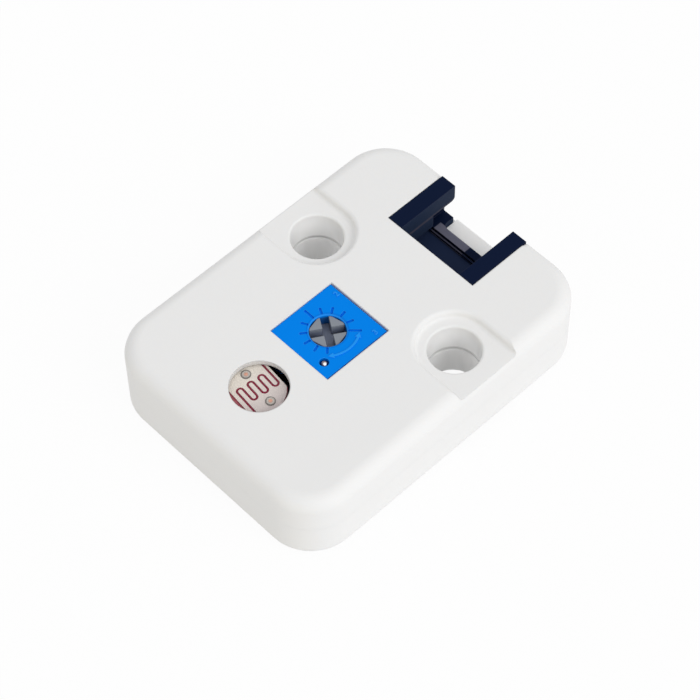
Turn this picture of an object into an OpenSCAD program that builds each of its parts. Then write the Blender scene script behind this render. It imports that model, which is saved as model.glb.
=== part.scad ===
// Small clip-on light sensor: a white two-part housing with a photocell under a round
// window, a square adjuster for the threshold and a four-way socket at one end.
// The length runs along Y with the socket at +Y, and the underside lies on z = 0.

/* [Housing] */
// Overall width
body_w = 24; // [23:0.5:30]
// Overall length
body_l = 32; // [31:0.5:40]
// Overall height
body_h = 7.5; // [7.2:0.1:9.5]
// Radius of the upright corners
corner_r = 4.2; // [3:0.1:5]
// Radius of the edge round the top face
top_edge_r = 1.3; // [0.4:0.1:1.8]
// Radius of the edge round the underside
bottom_edge_r = 1; // [0.3:0.1:1.6]
// Thickness of the side walls
side_t = 1.2; // [1:0.1:1.6]
// Thickness of the roof
roof_t = 1; // [0.8:0.05:1.2]
// Thickness of the roof round the photocell's window
lip_t = 0.5; // [0.4:0.05:0.7]
// Thickness of the floor
floor_t = 0.8; // [0.7:0.05:1.1]
// Height of the parting line
seam_z = 3.9; // [3.5:0.1:4.5]
// Height of the tongue that locates the two halves
tongue_h = 0.8; // [0.4:0.1:1.2]
// Thickness of that tongue
tongue_t = 0.5; // [0.3:0.05:0.7]

/* [Pin holes] */
// Diameter of the two through holes
pin_hole_d = 4.5; // [4.2:0.1:5]
// Distance between the two holes
pin_pitch = 16; // [15:0.1:16.5]
// Place of the holes along the length, from the middle
pin_y = 4; // [3:0.1:4.5]
// Diameter of the recess round each hole
recess_d = 6.4; // [6:0.1:7]
// Depth of that recess
recess_h = 0.7; // [0.6:0.05:1]
// Wall of the tube round each hole
tube_t = 0.8; // [0.6:0.1:1]
// Material round each recess, inside the housing
boss_t = 0.9; // [0.7:0.1:1]
// Rounding of the recess rim
rim_r = 0.4; // [0.15:0.05:0.45]
// Rounding of the hole's upper edge, in the recess
hole_rim_r = 0.2; // [0.1:0.05:0.3]
// Gap between the two tubes of a hole at the parting line
seam_gap = 0.2; // [0.06:0.02:0.24]
// Chamfer inside the lower tube at that gap
tube_chamfer = 0.12; // [0.1:0.02:0.3]

/* [Housing screws] */
// Thread diameter
screw_d = 2; // [1.6:0.1:2.2]
// Thread length
screw_l = 4.1; // [3.2:0.1:4.6]
// Head diameter
head_d = 3.5; // [3.2:0.1:3.8]
// Head height
head_h = 1; // [0.8:0.1:1.2]
// Width across the flats of the hexagon socket
socket_af = 1.3; // [1.2:0.1:1.5]
// Distance of the screws from the photocell end and from the sides
screw_inset = 4.6; // [4.4:0.1:5]
// Wall of the post that each screw bites into
post_t = 0.8; // [0.6:0.1:1]

/* [Circuit board] */
// Thickness of the board
board_t = 0.8; // [0.6:0.1:1]
// Space under the board
board_gap = 0.5; // [0.45:0.05:0.7]
// Play round the board
board_play = 0.2; // [0.1:0.05:0.3]

/* [Socket] */
// Outer width of the socket shell
socket_w = 9.7; // [9.3:0.1:10]
// Length of the shell, from its mouth to its back
socket_l = 8.5; // [8:0.1:8.8]
// How far the mouth stands back from the end of the housing
mouth_back = 0.45; // [0.3:0.05:0.8]
// Length of the cut in the roof
roof_cut_l = 6.8; // [6.2:0.1:7]
// Thickness of the two arms over the mouth
arm_t = 1.8; // [1.2:0.1:2]
// Width of the notch between the arms
notch_w = 6.7; // [6:0.1:7]
// Thickness of the shell's side walls
shell_side_t = 0.3; // [0.25:0.05:0.4]
// Thickness of the shell's floor
shell_floor_t = 1.05; // [0.9:0.05:1.2]
// Thickness of the shell's back wall
shell_back_t = 0.9; // [0.7:0.1:1.1]
// How far the floor's front edge stands back from the mouth
floor_back = 1.25; // [1:0.05:1.4]
// Width of that set-back edge
floor_back_w = 6.86; // [6:0.02:7]
// Distance from the mouth to the guide rails
rail_back = 2.55; // [2:0.05:3]
// Height of the gap under the guide rails
rail_gap = 1.15; // [0.8:0.05:1.5]
// Distance between the contacts
contact_pitch = 2; // [1.8:0.05:2]
// Width and height of a contact blade
contact_w = 0.5; // [0.4:0.05:0.6]
// Free length of a contact inside the shell
contact_l = 2.4; // [2:0.1:2.8]
// Thickness of the sheet metal of contact feet and anchors
sheet_t = 0.25; // [0.2:0.05:0.3]

/* [Adjuster] */
// Width of the adjuster's case
case_w = 6.5; // [6.3:0.1:6.9]
// Length of the adjuster's case
case_l = 6.65; // [6.55:0.05:7]
// Place of the case across the width, from the middle
case_x = -0.06; // [-0.2:0.02:0.1]
// Place of the case along the length, from the middle
case_y = -2.22; // [-2.6:0.02:-1.9]
// How far its face lies below the roof
case_sink = 0.1; // [0.05:0.05:0.3]
// Height of the feet under the case
case_foot = 0.4; // [0.3:0.1:0.6]
// How far the rotor stands off the middle of the case
rotor_x = -0.12; // [-0.2:0.02:0]
// Diameter of the opening over the rotor
opening_d = 3.1; // [2.9:0.1:3.3]
// Running clearance of the rotor, all round
rotor_gap = 0.05; // [0.03:0.01:0.08]
// Diameter of the rotor's flange
flange_d = 4.9; // [4.6:0.1:5]
// Thickness of the rotor's flange
flange_t = 1; // [0.8:0.1:1.2]
// How far the rotor's face lies below the case's face
rotor_sink = 0.15; // [0.1:0.05:0.4]
// Width of the cross slot
slot_w = 0.75; // [0.6:0.05:0.9]
// Depth of the cross slot
slot_h = 1; // [0.8:0.1:1.2]
// Direction of the first slot at rest
slot_turn = 58; // [0:1:90]
// Full turning range of the rotor, in degrees
travel = 240; // [200:5:260]
// Number of marks round the dial
marks = 11; // [6:5:21]
// Angle from the first mark to the last
dial_angle = 270; // [240:5:300]
// Depth of the marks
mark_h = 0.12; // [0.05:0.01:0.2]
// Width of a mark
mark_w = 0.22; // [0.16:0.02:0.3]
// Thickness of the ceramic element
element_t = 0.8; // [0.6:0.1:1]
// Height of the sprung wiper
wiper_h = 0.45; // [0.4:0.05:0.6]
// Section diameter of the sealing ring
ring_d = 0.9; // [0.8:0.05:0.95]

/* [Photocell] */
// Diameter of the window in the roof
window_d = 4.9; // [4.6:0.1:5.4]
// Place of the window from the photocell end
window_inset = 6.1; // [5.8:0.1:6.5]
// Diameter of the photocell's disc
cell_d = 5.1; // [4.8:0.1:5.2]
// Distance between the disc's two flats
cell_flats = 4.3; // [4.1:0.1:4.5]
// Thickness of the ceramic disc
cell_t = 1.8; // [1.4:0.1:2]
// How far the disc stands off the window's middle, across the housing
cell_x = -0.32; // [-0.4:0.02:0]
// How far it stands off the window's middle, along the housing
cell_off = -0.13; // [-0.3:0.01:0.1]
// Turn of the disc
cell_turn = -6; // [-12:1:0]
// Distance between the two leads
lead_pitch = 3.26; // [3.1:0.02:3.4]
// Distance between the strokes of the light-sensitive track
stroke_pitch = 0.53; // [0.48:0.01:0.55]
// Width of that track
track_w = 0.2; // [0.15:0.01:0.24]
// Bare margin along one flat
film_margin = 0.4; // [0.2:0.02:0.5]

/* [Leads] */
// Diameter of the round leads
lead_d = 0.5; // [0.4:0.05:0.6]

/* [Hidden] */
$fn = 72;

eps = 0.01;
over = 1;              // how far a cutter runs past a face
bite = 0.2;            // how far a joined form runs into the wall that carries it
fit = 0.05;            // play between fixed pieces

// Housing
inner_w = body_w - 2*side_t;
inner_l = body_l - 2*side_t;
inner_r = corner_r - side_t;
roof_z = body_h - roof_t;
hole_r = pin_hole_d/2;
recess_r = recess_d/2;
tube_r = hole_r + tube_t;
boss_r = recess_r + boss_t;
side_reach = body_w/2 - pin_pitch/2;
screw_x = body_w/2 - screw_inset;
screw_y = screw_inset - body_l/2;
post_r = screw_d/2 + post_t;
seat_t = 0.9;          // material between the screw head and the post
seat_z = head_h + seat_t;
seat_r = head_d/2 + 0.8;
head_sink = 0.1;       // how far the head lies inside the underside
screw_play = 0.1;      // round the head and the thread in the lower half
screw_end = 0.2;       // free hole past the end of the thread
foot_r = recess_h - rim_r - 2*eps; // rounding at the foot of the recess's wall
rim_lean = 0.97;       // how nearly a rounded rim runs into the face beside it
tube_play = 0.15;      // between the tongue and the tubes
skirt_t = 0.7;         // skirt round the adjuster
skirt_h = 0.9;
case_play = 0.1;       // between the adjuster's case and its opening in the roof
case_off = [0.04, 0.05]; // from the middle of the case to the middle of that opening
rib_l = 1.2;           // ribs that hold the board down
rib_on = 0.6;          // how far they reach over the board
rib_back = 0.2;

// Board
board_z = floor_t + board_gap;
board_top = board_z + board_t;
board_w = inner_w - 2*board_play;
end_y = body_l/2;
mouth_y = end_y - mouth_back;
floor_front_y = mouth_y - floor_back;
board_front = floor_front_y - 2*fit;
board_back = -inner_l/2 + board_play;
board_wide_y = [screw_y + seat_r + board_play, pin_y - boss_r - board_play];
ledge_w = 1.2;         // width of the ledges that carry the board
ledge_end = 0.6;       // how far they stop short of the board's corners
front_ledge_l = 2.6;
lip_wing = 0.8;        // how far the lip's foot runs past the socket
hole_play = 0.15;      // plating round a lead
tail_h = 0.4;          // how far the leads stand out below the board
fillet_h = 0.3;        // height and widths of a solder fillet
fillet_r = [lead_d/2 + 0.08, lead_d/2 + 0.35];

// Socket
cut_w = socket_w + 2*fit;
cut_y = end_y - roof_cut_l;
shell_back = mouth_y - socket_l;
shell_in = shell_back + shell_back_t;
plug_z = board_top + shell_floor_t;
plug_w = socket_w - 2*shell_side_t;
arm_z = body_h - arm_t;
arm_r = 0.4;           // lower corner at an arm's end
lip_z = board_top + 0.4;
bay_r = 0.5;           // inner corners of the bay before the floor
floor_bar = 0.73;      // raised bar along the floor's front edge
groove_w = 0.22;       // groove behind that bar
groove_h = 0.35;
step_l = 0.12;         // narrow step between the groove and the sunk floor
step_h = 0.25;
contact_z = (plug_z + arm_z)/2;
foot_l = 1;            // length of a soldered contact foot
riser_back = 0.35;     // how far the riser stands behind the shell
anchor_l = 2;          // soldered side brackets of the shell
anchor_h = 2.4;
anchor_w = 1.4;
anchor_back = 1.6;     // from the roof cut to the bracket

// Adjuster
case_top = body_h - case_sink;
case_z = board_top + case_foot;
element_top = case_z + element_t;
track_t = 0.05;
track_top = element_top + track_t;
wiper_top = track_top + wiper_h;
flange_top = wiper_top + flange_t;
ring_z = flange_top + ring_d/2;
ring_squeeze = 0.02;   // how far the ring is stretched over the stem
chamber_top = flange_top + ring_d + 0.06;
chamber_r = flange_d/2 + 0.12;
stem_r = opening_d/2 - rotor_gap;
face_z = case_top - rotor_sink;
opening_chamfer = 0.12;
flat_h = 0.4;          // height of the four flats at the rotor's end
flat_in = 0.1;         // how far a flat lies inside the stem's surface
mark_r = [1.76, 2.22]; // reach of a plain mark from the dial's centre
mark_long = 0.42;      // how much further every fifth mark reaches
pin_x = 1.93;          // outer pins, from the middle of the case
pin_span = 5.08;       // distance between the outer pins
pin_mid = 0.18;        // their middle, from the middle of the case
pin_sink = 0.1;        // end of the first pin below the case's face
pin_head_d = 0.62;
pin_end = 0.12;        // chamfer at that end
pin_port_d = 0.84;     // hole in the case over the first pin
case_wall = 0.3;       // wall round the element
foot_w = 1;            // feet under the case
stop_w = 16;           // angle that the stop rib takes up
stop_play = 2;         // angle left free at each end of the travel
stop_r = flange_d/2 - 0.45;
stop_gap = 0.02;       // between the rib and the flange
wiper_t = 0.15;        // wiper's sheet and its two contacts
wiper_r = 1.4;
wiper_arm_w = 0.8;
wiper_end_r = 0.22;
wiper_hub_r = 0.6;
wiper_lift = 0.02;
track_r = [1.6, 2.3];  // resistive track and the pads at its two ends
track_gap = 100;
pad_end = 2.9;
pad_w = 0.6;
pin_places = [
    [pin_x, pin_mid - pin_span/2],
    [pin_x - pin_span/2, pin_mid],
    [pin_x, pin_mid + pin_span/2]];

// Photocell
cell_y = window_inset - end_y;
coat_t = 0.12;
film_t = 0.05;
metal_t = 0.04;
room_z = body_h - lip_t;
cell_play = 0.4;       // free space round the disc under the roof
room_r = norm([cell_x, cell_off]) + cell_d/2 + cell_play;
coat_top = room_z - fit;
metal_top = coat_top - coat_t;
film_top = metal_top - metal_t;
disc_top = film_top - film_t;
strokes = 7;
pattern_y = 0.28;      // middle of the strokes, across the disc
turn_x = 0.545;        // from the middle of the track's turns to each turn
turn_mid = -0.08;      // that middle, from the disc's middle
metal_in = 0.06;       // bare rim round the metal
lead_y = 0.26;
rivet_r = 0.42;        // riveted head of a lead
rivet_h = 0.06;
core_r = 0.15;         // end of the lead, standing in its head
core_h = 0.09;
coat_skin = 0.03;      // lacquer over the rivets

// Board parts
part_x = (case_w + board_w)/4; // halfway between the adjuster and the board's edge
chip_w = 3.9;          // across the body
chip_l = 4.9;
chip_h = 1.4;
chip_pitch = 1.27;
chip_reach = 6;        // over the leads
chip_back = 2.5;       // behind the middle of the adjuster
chip_lift = 0.1;
chip_lead_w = 0.4;
chip_lead_t = 0.2;
chip_knee = 0.45;      // from the body to the bend of a lead
dot_in = 0.8;          // dot that marks the first lead
dot_r = 0.3;
dot_h = 0.1;
block_l = 1.6;         // small resistors and capacitors
block_w = 0.8;
resistor_h = 0.45;
resistor_pitch = 1.7;
resistor_back = 1.8;   // behind the wide part of the board
resistor_y = board_wide_y[1] - resistor_back;
capacitor_h = 0.8;
capacitor_back = 2.8;  // behind the front of the board
capacitor_x = (socket_w/2 + anchor_w + board_w/2)/2; // halfway between a bracket and the board's edge

// Plain shapes

// Box between two x, two y and two z
module span(x, y, z) {
    translate([x[0], y[0], z[0]]) cube([x[1] - x[0], y[1] - y[0], z[1] - z[0]]);
}

// Upright disc between two heights
module disc(r, z) {
    translate([0, 0, z[0]]) cylinder(r = r, h = z[1] - z[0]);
}

// Plate with round corners between two heights
module plate(w, l, r, z) {
    translate([0, 0, z[0]]) linear_extrude(z[1] - z[0]) plate_outline(w, l, r);
}

module plate_outline(w, l, r) {
    square([w - 2*r, l], center = true);
    square([w, l - 2*r], center = true);
    for (x = [-1, 1], y = [-1, 1]) translate([x*(w/2 - r), y*(l/2 - r)]) circle(r);
}

// Right half of a section with a round top and bottom edge
module edge_outline(half, z, r_top, r_bottom) {
    translate([0, z[0] + r_bottom]) square([half, z[1] - z[0] - r_top - r_bottom]);
    translate([0, z[0]]) square([half - max(r_top, r_bottom), z[1] - z[0]]);
    if (r_top > 0) translate([half - r_top, z[1] - r_top]) circle(r_top);
    if (r_bottom > 0) translate([half - r_bottom, z[0] + r_bottom]) circle(r_bottom);
}

module both_sides() {
    children();
    mirror([1, 0]) children();
}

// Block with round corners and round top or bottom edges
module soft_block(w, l, r, z, r_top, r_bottom) {
    rotate([90, 0, 0]) linear_extrude(l - 2*r, center = true)
        both_sides() edge_outline(w/2, z, r_top, r_bottom);
    rotate([90, 0, 90]) linear_extrude(w - 2*r, center = true)
        both_sides() edge_outline(l/2, z, r_top, r_bottom);
    for (x = [-1, 1], y = [-1, 1]) translate([x*(w/2 - r), y*(l/2 - r), 0])
        rotate_extrude() edge_outline(r, z, r_top, r_bottom);
}

// The right-hand pin hole and its mirror image
module pin_sites() {
    for (side = [0, 1]) mirror([side, 0, 0]) translate([pin_pitch/2, pin_y, 0]) children();
}

module screw_sites() {
    for (side = [-1, 1]) translate([side*screw_x, screw_y, 0]) children();
}

// Round pad that runs out towards the near side wall
module side_pad(r, z, reach) {
    disc(r, z);
    span([0, reach], [-r, r], z);
}

// Flare of a cut of half width x where it meets a face at height z
module soft_rim(x, z, r) {
    low = z - rim_lean*r;
    difference() {
        translate([0, low]) square([x + r, rim_lean*r + over]);
        translate([x + r, low]) circle(r);
    }
}

// Recess in a face at z = 0, with a soft rim and a rounded foot
module recess_outline() {
    foot_z = foot_r - recess_h;
    translate([0, foot_z]) square([recess_r, over - foot_z]);
    translate([0, -recess_h]) square([recess_r - foot_r, recess_h + over]);
    translate([recess_r - foot_r, foot_z]) circle(foot_r);
    soft_rim(recess_r, 0, rim_r);
}

// Recess round a hole, open towards the side wall
module recess_cut() {
    rotate_extrude() recess_outline();
    rotate([90, 0, 90]) linear_extrude(side_reach + over) both_sides() recess_outline();
}

// Housing

module top_outer() {
    soft_block(body_w, body_l, corner_r, [seam_z, body_h], top_edge_r, 0);
}

module bottom_outer() {
    soft_block(body_w, body_l, corner_r, [0, seam_z], 0, bottom_edge_r);
}

module top_housing() {
    color("white") difference() {
        union() {
            difference() {
                top_outer();
                plate(inner_w, inner_l, inner_r, [seam_z - over, roof_z]);
                plate(inner_w + 2*(tongue_t + fit), inner_l + 2*(tongue_t + fit),
                      inner_r + tongue_t + fit, [seam_z - over, seam_z + tongue_h + fit]);
            }
            intersection() {
                top_outer();
                pin_sites() {
                    disc(tube_r, [seam_z, roof_z + eps]);
                    side_pad(boss_r, [roof_z - recess_h, roof_z + bite], side_reach);
                }
            }
            screw_sites() disc(post_r, [seat_z, roof_z + bite]);
            hold_downs();
            around_case(skirt_t, [roof_z - skirt_h, roof_z + bite]);
        }
        pin_sites() {
            disc(hole_r, [0, body_h + over]);
            translate([0, 0, body_h]) {
                recess_cut();
                rotate_extrude() soft_rim(hole_r, -recess_h, hole_rim_r);
            }
        }
        screw_sites() disc(screw_d/2, [0, head_h + screw_l + screw_end]);
        around_case(case_play, [roof_z - over, body_h + over]);
        translate([0, cell_y, 0]) {
            disc(window_d/2, [roof_z - over, body_h + over]);
            disc(room_r, [roof_z - over, room_z]);
        }
        span([-cut_w/2, cut_w/2], [cut_y, end_y + over], [0, body_h + over]);
        span([-cut_w/2, cut_w/2], [shell_back - fit, cut_y + eps], [0, roof_z]);
    }
}

// Block round the adjuster's case: a skirt that steadies it, or the opening that it fills
module around_case(gap, z) {
    case_frame() translate([case_off[0], case_off[1], 0]) case_block(-gap, z);
}

// Ribs that hold the board down on its ledges
module hold_downs() {
    for (side = [0, 1], y = [board_wide_y[1], inner_l/2 - inner_r])
        mirror([side, 0, 0])
            span([board_w/2 - rib_on, inner_w/2 - fit], [y - rib_l - rib_back, y - rib_back],
                 [board_top, roof_z + bite]);
}

module bottom_housing() {
    color("whitesmoke") difference() {
        union() {
            difference() {
                bottom_outer();
                plate(inner_w, inner_l, inner_r, [floor_t, seam_z + over]);
            }
            tongue();
            intersection() {
                bottom_outer();
                union() {
                    pin_sites() {
                        disc(tube_r, [floor_t - eps, seam_z - seam_gap]);
                        side_pad(boss_r, [floor_t - bite, floor_t + recess_h], side_reach);
                    }
                    board_ledges();
                }
            }
            screw_sites() disc(seat_r, [floor_t - bite, seat_z]);
        }
        pin_sites() {
            disc(hole_r, [-over, seam_z + over]);
            mirror([0, 0, 1]) recess_cut();
            translate([0, 0, seam_z - seam_gap - tube_chamfer])
                cylinder(r1 = hole_r, r2 = hole_r + tube_chamfer + eps, h = tube_chamfer + eps);
        }
        screw_sites() {
            disc(head_d/2 + screw_play, [-over, head_h]);
            disc(screw_d/2 + screw_play, [0, seat_z + over]);
        }
        socket_cut();
    }
}

// Room for the socket in the end wall, with a lip left standing before its floor
module socket_cut() {
    difference() {
        span([-cut_w/2, cut_w/2], [board_front, end_y + over], [board_top, seam_z + tongue_h + over]);
        linear_extrude(lip_z) bay_outline(fit);
    }
}

// Tongue on the lower half, left out where the tubes pass
module tongue() {
    difference() {
        plate(inner_w + 2*tongue_t, inner_l + 2*tongue_t, inner_r + tongue_t,
              [seam_z - bite, seam_z + tongue_h]);
        plate(inner_w, inner_l, inner_r, [floor_t, seam_z + tongue_h + over]);
        pin_sites() disc(tube_r + tube_play, [seam_z - seam_gap, seam_z + tongue_h + over]);
    }
}

// Ledges under the board's edges, and the foot of the lip before the socket
module board_ledges() {
    z = [floor_t - bite, board_z];
    ledge_x = [inner_w/2 - ledge_w, inner_w/2 + bite];
    front_y = board_front - ledge_end;
    for (side = [0, 1]) mirror([side, 0, 0]) {
        span(ledge_x, [board_wide_y[0] + ledge_end, board_wide_y[1] - rib_back], z);
        span(ledge_x, [front_y - front_ledge_l, front_y], z);
    }
    span([-ledge_w*2, ledge_w*2], [-inner_l/2 - bite, -inner_l/2 + ledge_w], z);
    span([-cut_w/2, cut_w/2], [board_front - ledge_w, inner_l/2 + bite], z);
    span([-cut_w/2 - lip_wing, cut_w/2 + lip_wing], [board_front + fit, inner_l/2 + bite],
         [floor_t - bite, lip_z]);
}

module screw(side) {
    socket_h = 0.7*head_h;
    color("silver") translate([side*screw_x, screw_y, 0]) difference() {
        union() {
            disc(head_d/2, [head_sink, head_h]);
            disc(screw_d/2, [head_h, head_h + screw_l]);
        }
        cylinder(d = socket_af/cos(30), h = socket_h, $fn = 6);
    }
}

module housing_screw_left() {
    screw(-1);
}

module housing_screw_right() {
    screw(1);
}

// Circuit board

module lead_sites() {
    cell_frame() for (x = [-1, 1]) translate([x*lead_pitch/2, lead_y, 0]) children();
    case_frame() for (p = pin_places) translate([p[0], p[1], 0]) children();
}

module circuit_board() {
    notch_r = boss_r + board_play;
    screw_r = seat_r + board_play;
    color("darkslategray") difference() {
        intersection() {
            span([-board_w/2, board_w/2], [board_back, board_front], [board_z, board_top]);
            plate(board_w, inner_l - 2*board_play, inner_r - board_play, [board_z - over, board_top + over]);
        }
        pin_sites() side_pad(notch_r, [0, seam_z], side_reach);
        for (side = [0, 1]) mirror([side, 0, 0]) translate([screw_x, screw_y, 0]) {
            disc(screw_r, [0, seam_z]);
            span([0, body_w/2], [-screw_r, screw_r], [0, seam_z]);
            span([-screw_r, body_w/2], [-screw_inset, 0], [0, seam_z]);
        }
        lead_sites() disc(lead_d/2 + hole_play, [0, seam_z]);
    }
}

// Solder that fills each plated hole and rises round its lead below the board
module solder_joints() {
    color("silver") lead_sites() difference() {
        union() {
            disc(lead_d/2 + hole_play, [board_z, board_top]);
            translate([0, 0, board_z - fillet_h])
                cylinder(r1 = fillet_r[0], r2 = fillet_r[1], h = fillet_h);
        }
        disc(lead_d/2, [0, board_top + over]);
    }
}

// Socket

module connector_shell() {
    front = [cut_y + fit, mouth_y];
    color("midnightblue") difference() {
        union() {
            span([-socket_w/2, socket_w/2], front, [board_top, body_h]);
            span([-socket_w/2, socket_w/2], [shell_back, front[0] + 1], [board_top, roof_z - fit]);
        }
        span([-plug_w/2, plug_w/2], [mouth_y - rail_back, mouth_y + over], [plug_z, arm_z]);
        span([-plug_w/2, plug_w/2], [shell_in, mouth_y], [plug_z, plug_z + rail_gap]);
        span([-notch_w/2, notch_w/2], [shell_in, mouth_y + over], [plug_z, body_h + over]);
        floor_cut();
        arm_ends();
        contact_sites() span([-contact_w/2, contact_w/2], [shell_back - over, shell_in + over],
                             [contact_z - contact_w/2, contact_z + contact_w/2]);
    }
}

// Rounding of the arms' lower corners at the mouth
module arm_ends() {
    rotate([90, 0, 90]) linear_extrude(plug_w, center = true) difference() {
        translate([mouth_y - arm_r, arm_z - eps]) square([arm_r + over, arm_r + eps]);
        translate([mouth_y - arm_r, arm_z + arm_r]) circle(arm_r);
    }
}

// Bay before the floor's set-back edge, with round corners; the lip fills it with some play
module bay_outline(play) {
    half = floor_back_w/2 - play;
    back = floor_front_y + play;
    translate([-half + bay_r, back]) square([2*(half - bay_r), floor_back + 2*over]);
    translate([-half, back + bay_r]) square([2*half, floor_back + 2*over]);
    for (x = [-1, 1]) translate([x*(half - bay_r), back + bay_r]) circle(bay_r);
}

// Front edge of the floor, set back between the arms
module floor_cut() {
    translate([0, 0, board_top - over]) linear_extrude(shell_floor_t + 2*over) bay_outline(0);
    groove_y = floor_front_y - floor_bar - groove_w;
    span([-plug_w/2, plug_w/2], [groove_y, groove_y + groove_w], [plug_z - groove_h, plug_z + eps]);
    span([-plug_w/2, plug_w/2], [shell_in, groove_y - step_l], [plug_z - step_h, plug_z + eps]);
}

module contact_sites() {
    for (i = [0:3]) translate([(i - 1.5)*contact_pitch, 0, 0]) children();
}

// One contact: blade through the back wall, riser behind it and soldered foot
module contact(i) {
    riser_y = shell_back - riser_back;
    color("gold") translate([(i - 2.5)*contact_pitch, 0, 0]) {
        span([-contact_w/2, contact_w/2], [riser_y, shell_in + contact_l],
             [contact_z - contact_w/2, contact_z + contact_w/2]);
        span([-contact_w/2, contact_w/2], [riser_y, riser_y + sheet_t], [board_top, contact_z]);
        span([-contact_w/2, contact_w/2], [riser_y - foot_l, riser_y + sheet_t],
             [board_top, board_top + sheet_t]);
    }
}

module connector_contact_1() {
    contact(1);
}

module connector_contact_2() {
    contact(2);
}

module connector_contact_3() {
    contact(3);
}

module connector_contact_4() {
    contact(4);
}

// Soldered side bracket of the shell
module anchor(side) {
    y = [cut_y + anchor_back, cut_y + anchor_back + anchor_l];
    color("silver") mirror([side, 0, 0]) {
        span([socket_w/2, socket_w/2 + sheet_t], y, [board_top, board_top + anchor_h]);
        span([socket_w/2, socket_w/2 + anchor_w], y, [board_top, board_top + sheet_t]);
    }
}

module connector_anchor_left() {
    anchor(1);
}

module connector_anchor_right() {
    anchor(0);
}

// Photocell

module cell_frame() {
    translate([cell_x, cell_y + cell_off, 0]) rotate([0, 0, cell_turn]) children();
}

module cell_outline(inset) {
    intersection() {
        circle(cell_d/2 - inset);
        square([cell_d, cell_flats], center = true);
    }
}

module cell_layer(z) {
    translate([0, 0, z[0]]) linear_extrude(z[1] - z[0]) children();
}

module photocell_substrate() {
    color("antiquewhite") cell_frame() difference() {
        cell_layer([disc_top - cell_t, disc_top]) cell_outline(0);
        cell_lead_holes();
    }
}

module cell_lead_holes() {
    for (x = [-1, 1]) translate([x*lead_pitch/2, lead_y, 0]) disc(lead_d/2, [0, body_h]);
}

module photocell_film() {
    color("maroon") cell_frame() difference() {
        cell_layer([disc_top, film_top]) cell_outline(0);
        cell_lead_holes();
    }
}

// Bar with round ends, centred on y = 0
module rounded_bar(x, w) {
    translate([x[0], -w/2]) square([x[1] - x[0], w]);
    for (end = x) translate([end, 0]) circle(w/2);
}

function stroke_y(i) = pattern_y + (i - (strokes - 1)/2)*stroke_pitch;

// Fingers of one electrode: even gaps close on the left, odd gaps on the right
module fingers(parity, w) {
    for (i = [parity:2:strokes - 2]) translate([0, stroke_y(i) + stroke_pitch/2])
        if (parity == 0) {
            rounded_bar([turn_mid - turn_x, turn_mid + turn_x/2], w);
        } else {
            rounded_bar([turn_mid - turn_x/2, turn_mid + turn_x], w);
        }
}

// Metal half of the pattern; the track is the gap left between the two halves
module electrode_outline(parity) {
    first = stroke_y(0);
    last = stroke_y(strokes - 1);
    half = parity == 0 ? [turn_mid, cell_d] : [-cell_d, turn_mid];
    intersection() {
        difference() {
            cell_outline(metal_in);
            translate([-cell_d, -cell_flats/2 - over]) square([2*cell_d, film_margin + over]);
        }
        union() {
            difference() {
                translate([half[0], -cell_d]) square([half[1] - half[0], 2*cell_d]);
                fingers(1 - parity, stroke_pitch + track_w);
                if (parity == 0) {
                    translate([-cell_d, first + track_w/2 - cell_d]) square([2*cell_d, cell_d]);
                } else {
                    translate([-cell_d, last - track_w/2]) square([2*cell_d, cell_d]);
                }
            }
            fingers(parity, stroke_pitch - track_w);
            if (parity == 0) {
                translate([-cell_d, last + track_w/2]) square([2*cell_d, cell_d]);
            } else {
                translate([-cell_d, first - track_w/2 - cell_d]) square([2*cell_d, cell_d]);
            }
        }
    }
}

module electrode(parity) {
    color("blanchedalmond") cell_frame() difference() {
        cell_layer([film_top, metal_top]) electrode_outline(parity);
        cell_lead_holes();
    }
}

module photocell_electrode_a() {
    electrode(1);
}

module photocell_electrode_b() {
    electrode(0);
}

// Lead with its riveted head on the metal face
module cell_lead(side) {
    color("silver") cell_frame() translate([side*lead_pitch/2, lead_y, 0]) {
        disc(lead_d/2, [board_z - tail_h, metal_top]);
        disc(rivet_r, [metal_top, metal_top + rivet_h]);
        disc(core_r, [metal_top, metal_top + core_h]);
    }
}

module photocell_lead_a() {
    cell_lead(-1);
}

module photocell_lead_b() {
    cell_lead(1);
}

// Clear lacquer over the face
module photocell_coat() {
    color("white", 0.3) cell_frame() difference() {
        cell_layer([metal_top, coat_top]) cell_outline(0);
        for (x = [-1, 1]) translate([x*lead_pitch/2, lead_y, 0])
            disc(rivet_r, [metal_top - over, coat_top - coat_skin]);
    }
}

// Adjuster

module case_frame() {
    translate([case_x, case_y, 0]) children();
}

module rotor_frame() {
    case_frame() translate([rotor_x, 0, 0]) children();
}

// Block with the outline of the case, drawn in all round
module case_block(inset, z) {
    half = [case_w/2 - inset, case_l/2 - inset];
    span([-half[0], half[0]], [-half[1], half[1]], z);
}

// Sector of a ring from the middle of a given direction
module ring_sector(r, z, direction, angle) {
    rotate([0, 0, direction - angle/2]) translate([0, 0, z[0]])
        rotate_extrude(angle = angle) translate([r[0], 0]) square([r[1] - r[0], z[1] - z[0]]);
}

module trimmer_housing() {
    color("dodgerblue") {
        difference() {
            case_frame() {
                case_block(0, [case_z, case_top]);
                case_feet();
            }
            case_frame() case_block(case_wall, [board_top - over, track_top]);
            rotor_frame() {
                disc(chamber_r, [case_z, chamber_top]);
                disc(opening_d/2, [case_z, case_top + over]);
                translate([0, 0, case_top - opening_chamfer])
                    cylinder(r1 = opening_d/2, r2 = opening_d/2 + opening_chamfer + eps,
                             h = opening_chamfer + eps);
                dial_marks();
            }
            case_frame() translate(pin_places[0]) disc(pin_port_d/2, [case_z, case_top + over]);
        }
        rotor_frame()
            ring_sector([stop_r + stop_gap, chamber_r + bite], [wiper_top - bite, flange_top - stop_gap],
                        0, stop_w);
    }
}

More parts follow.
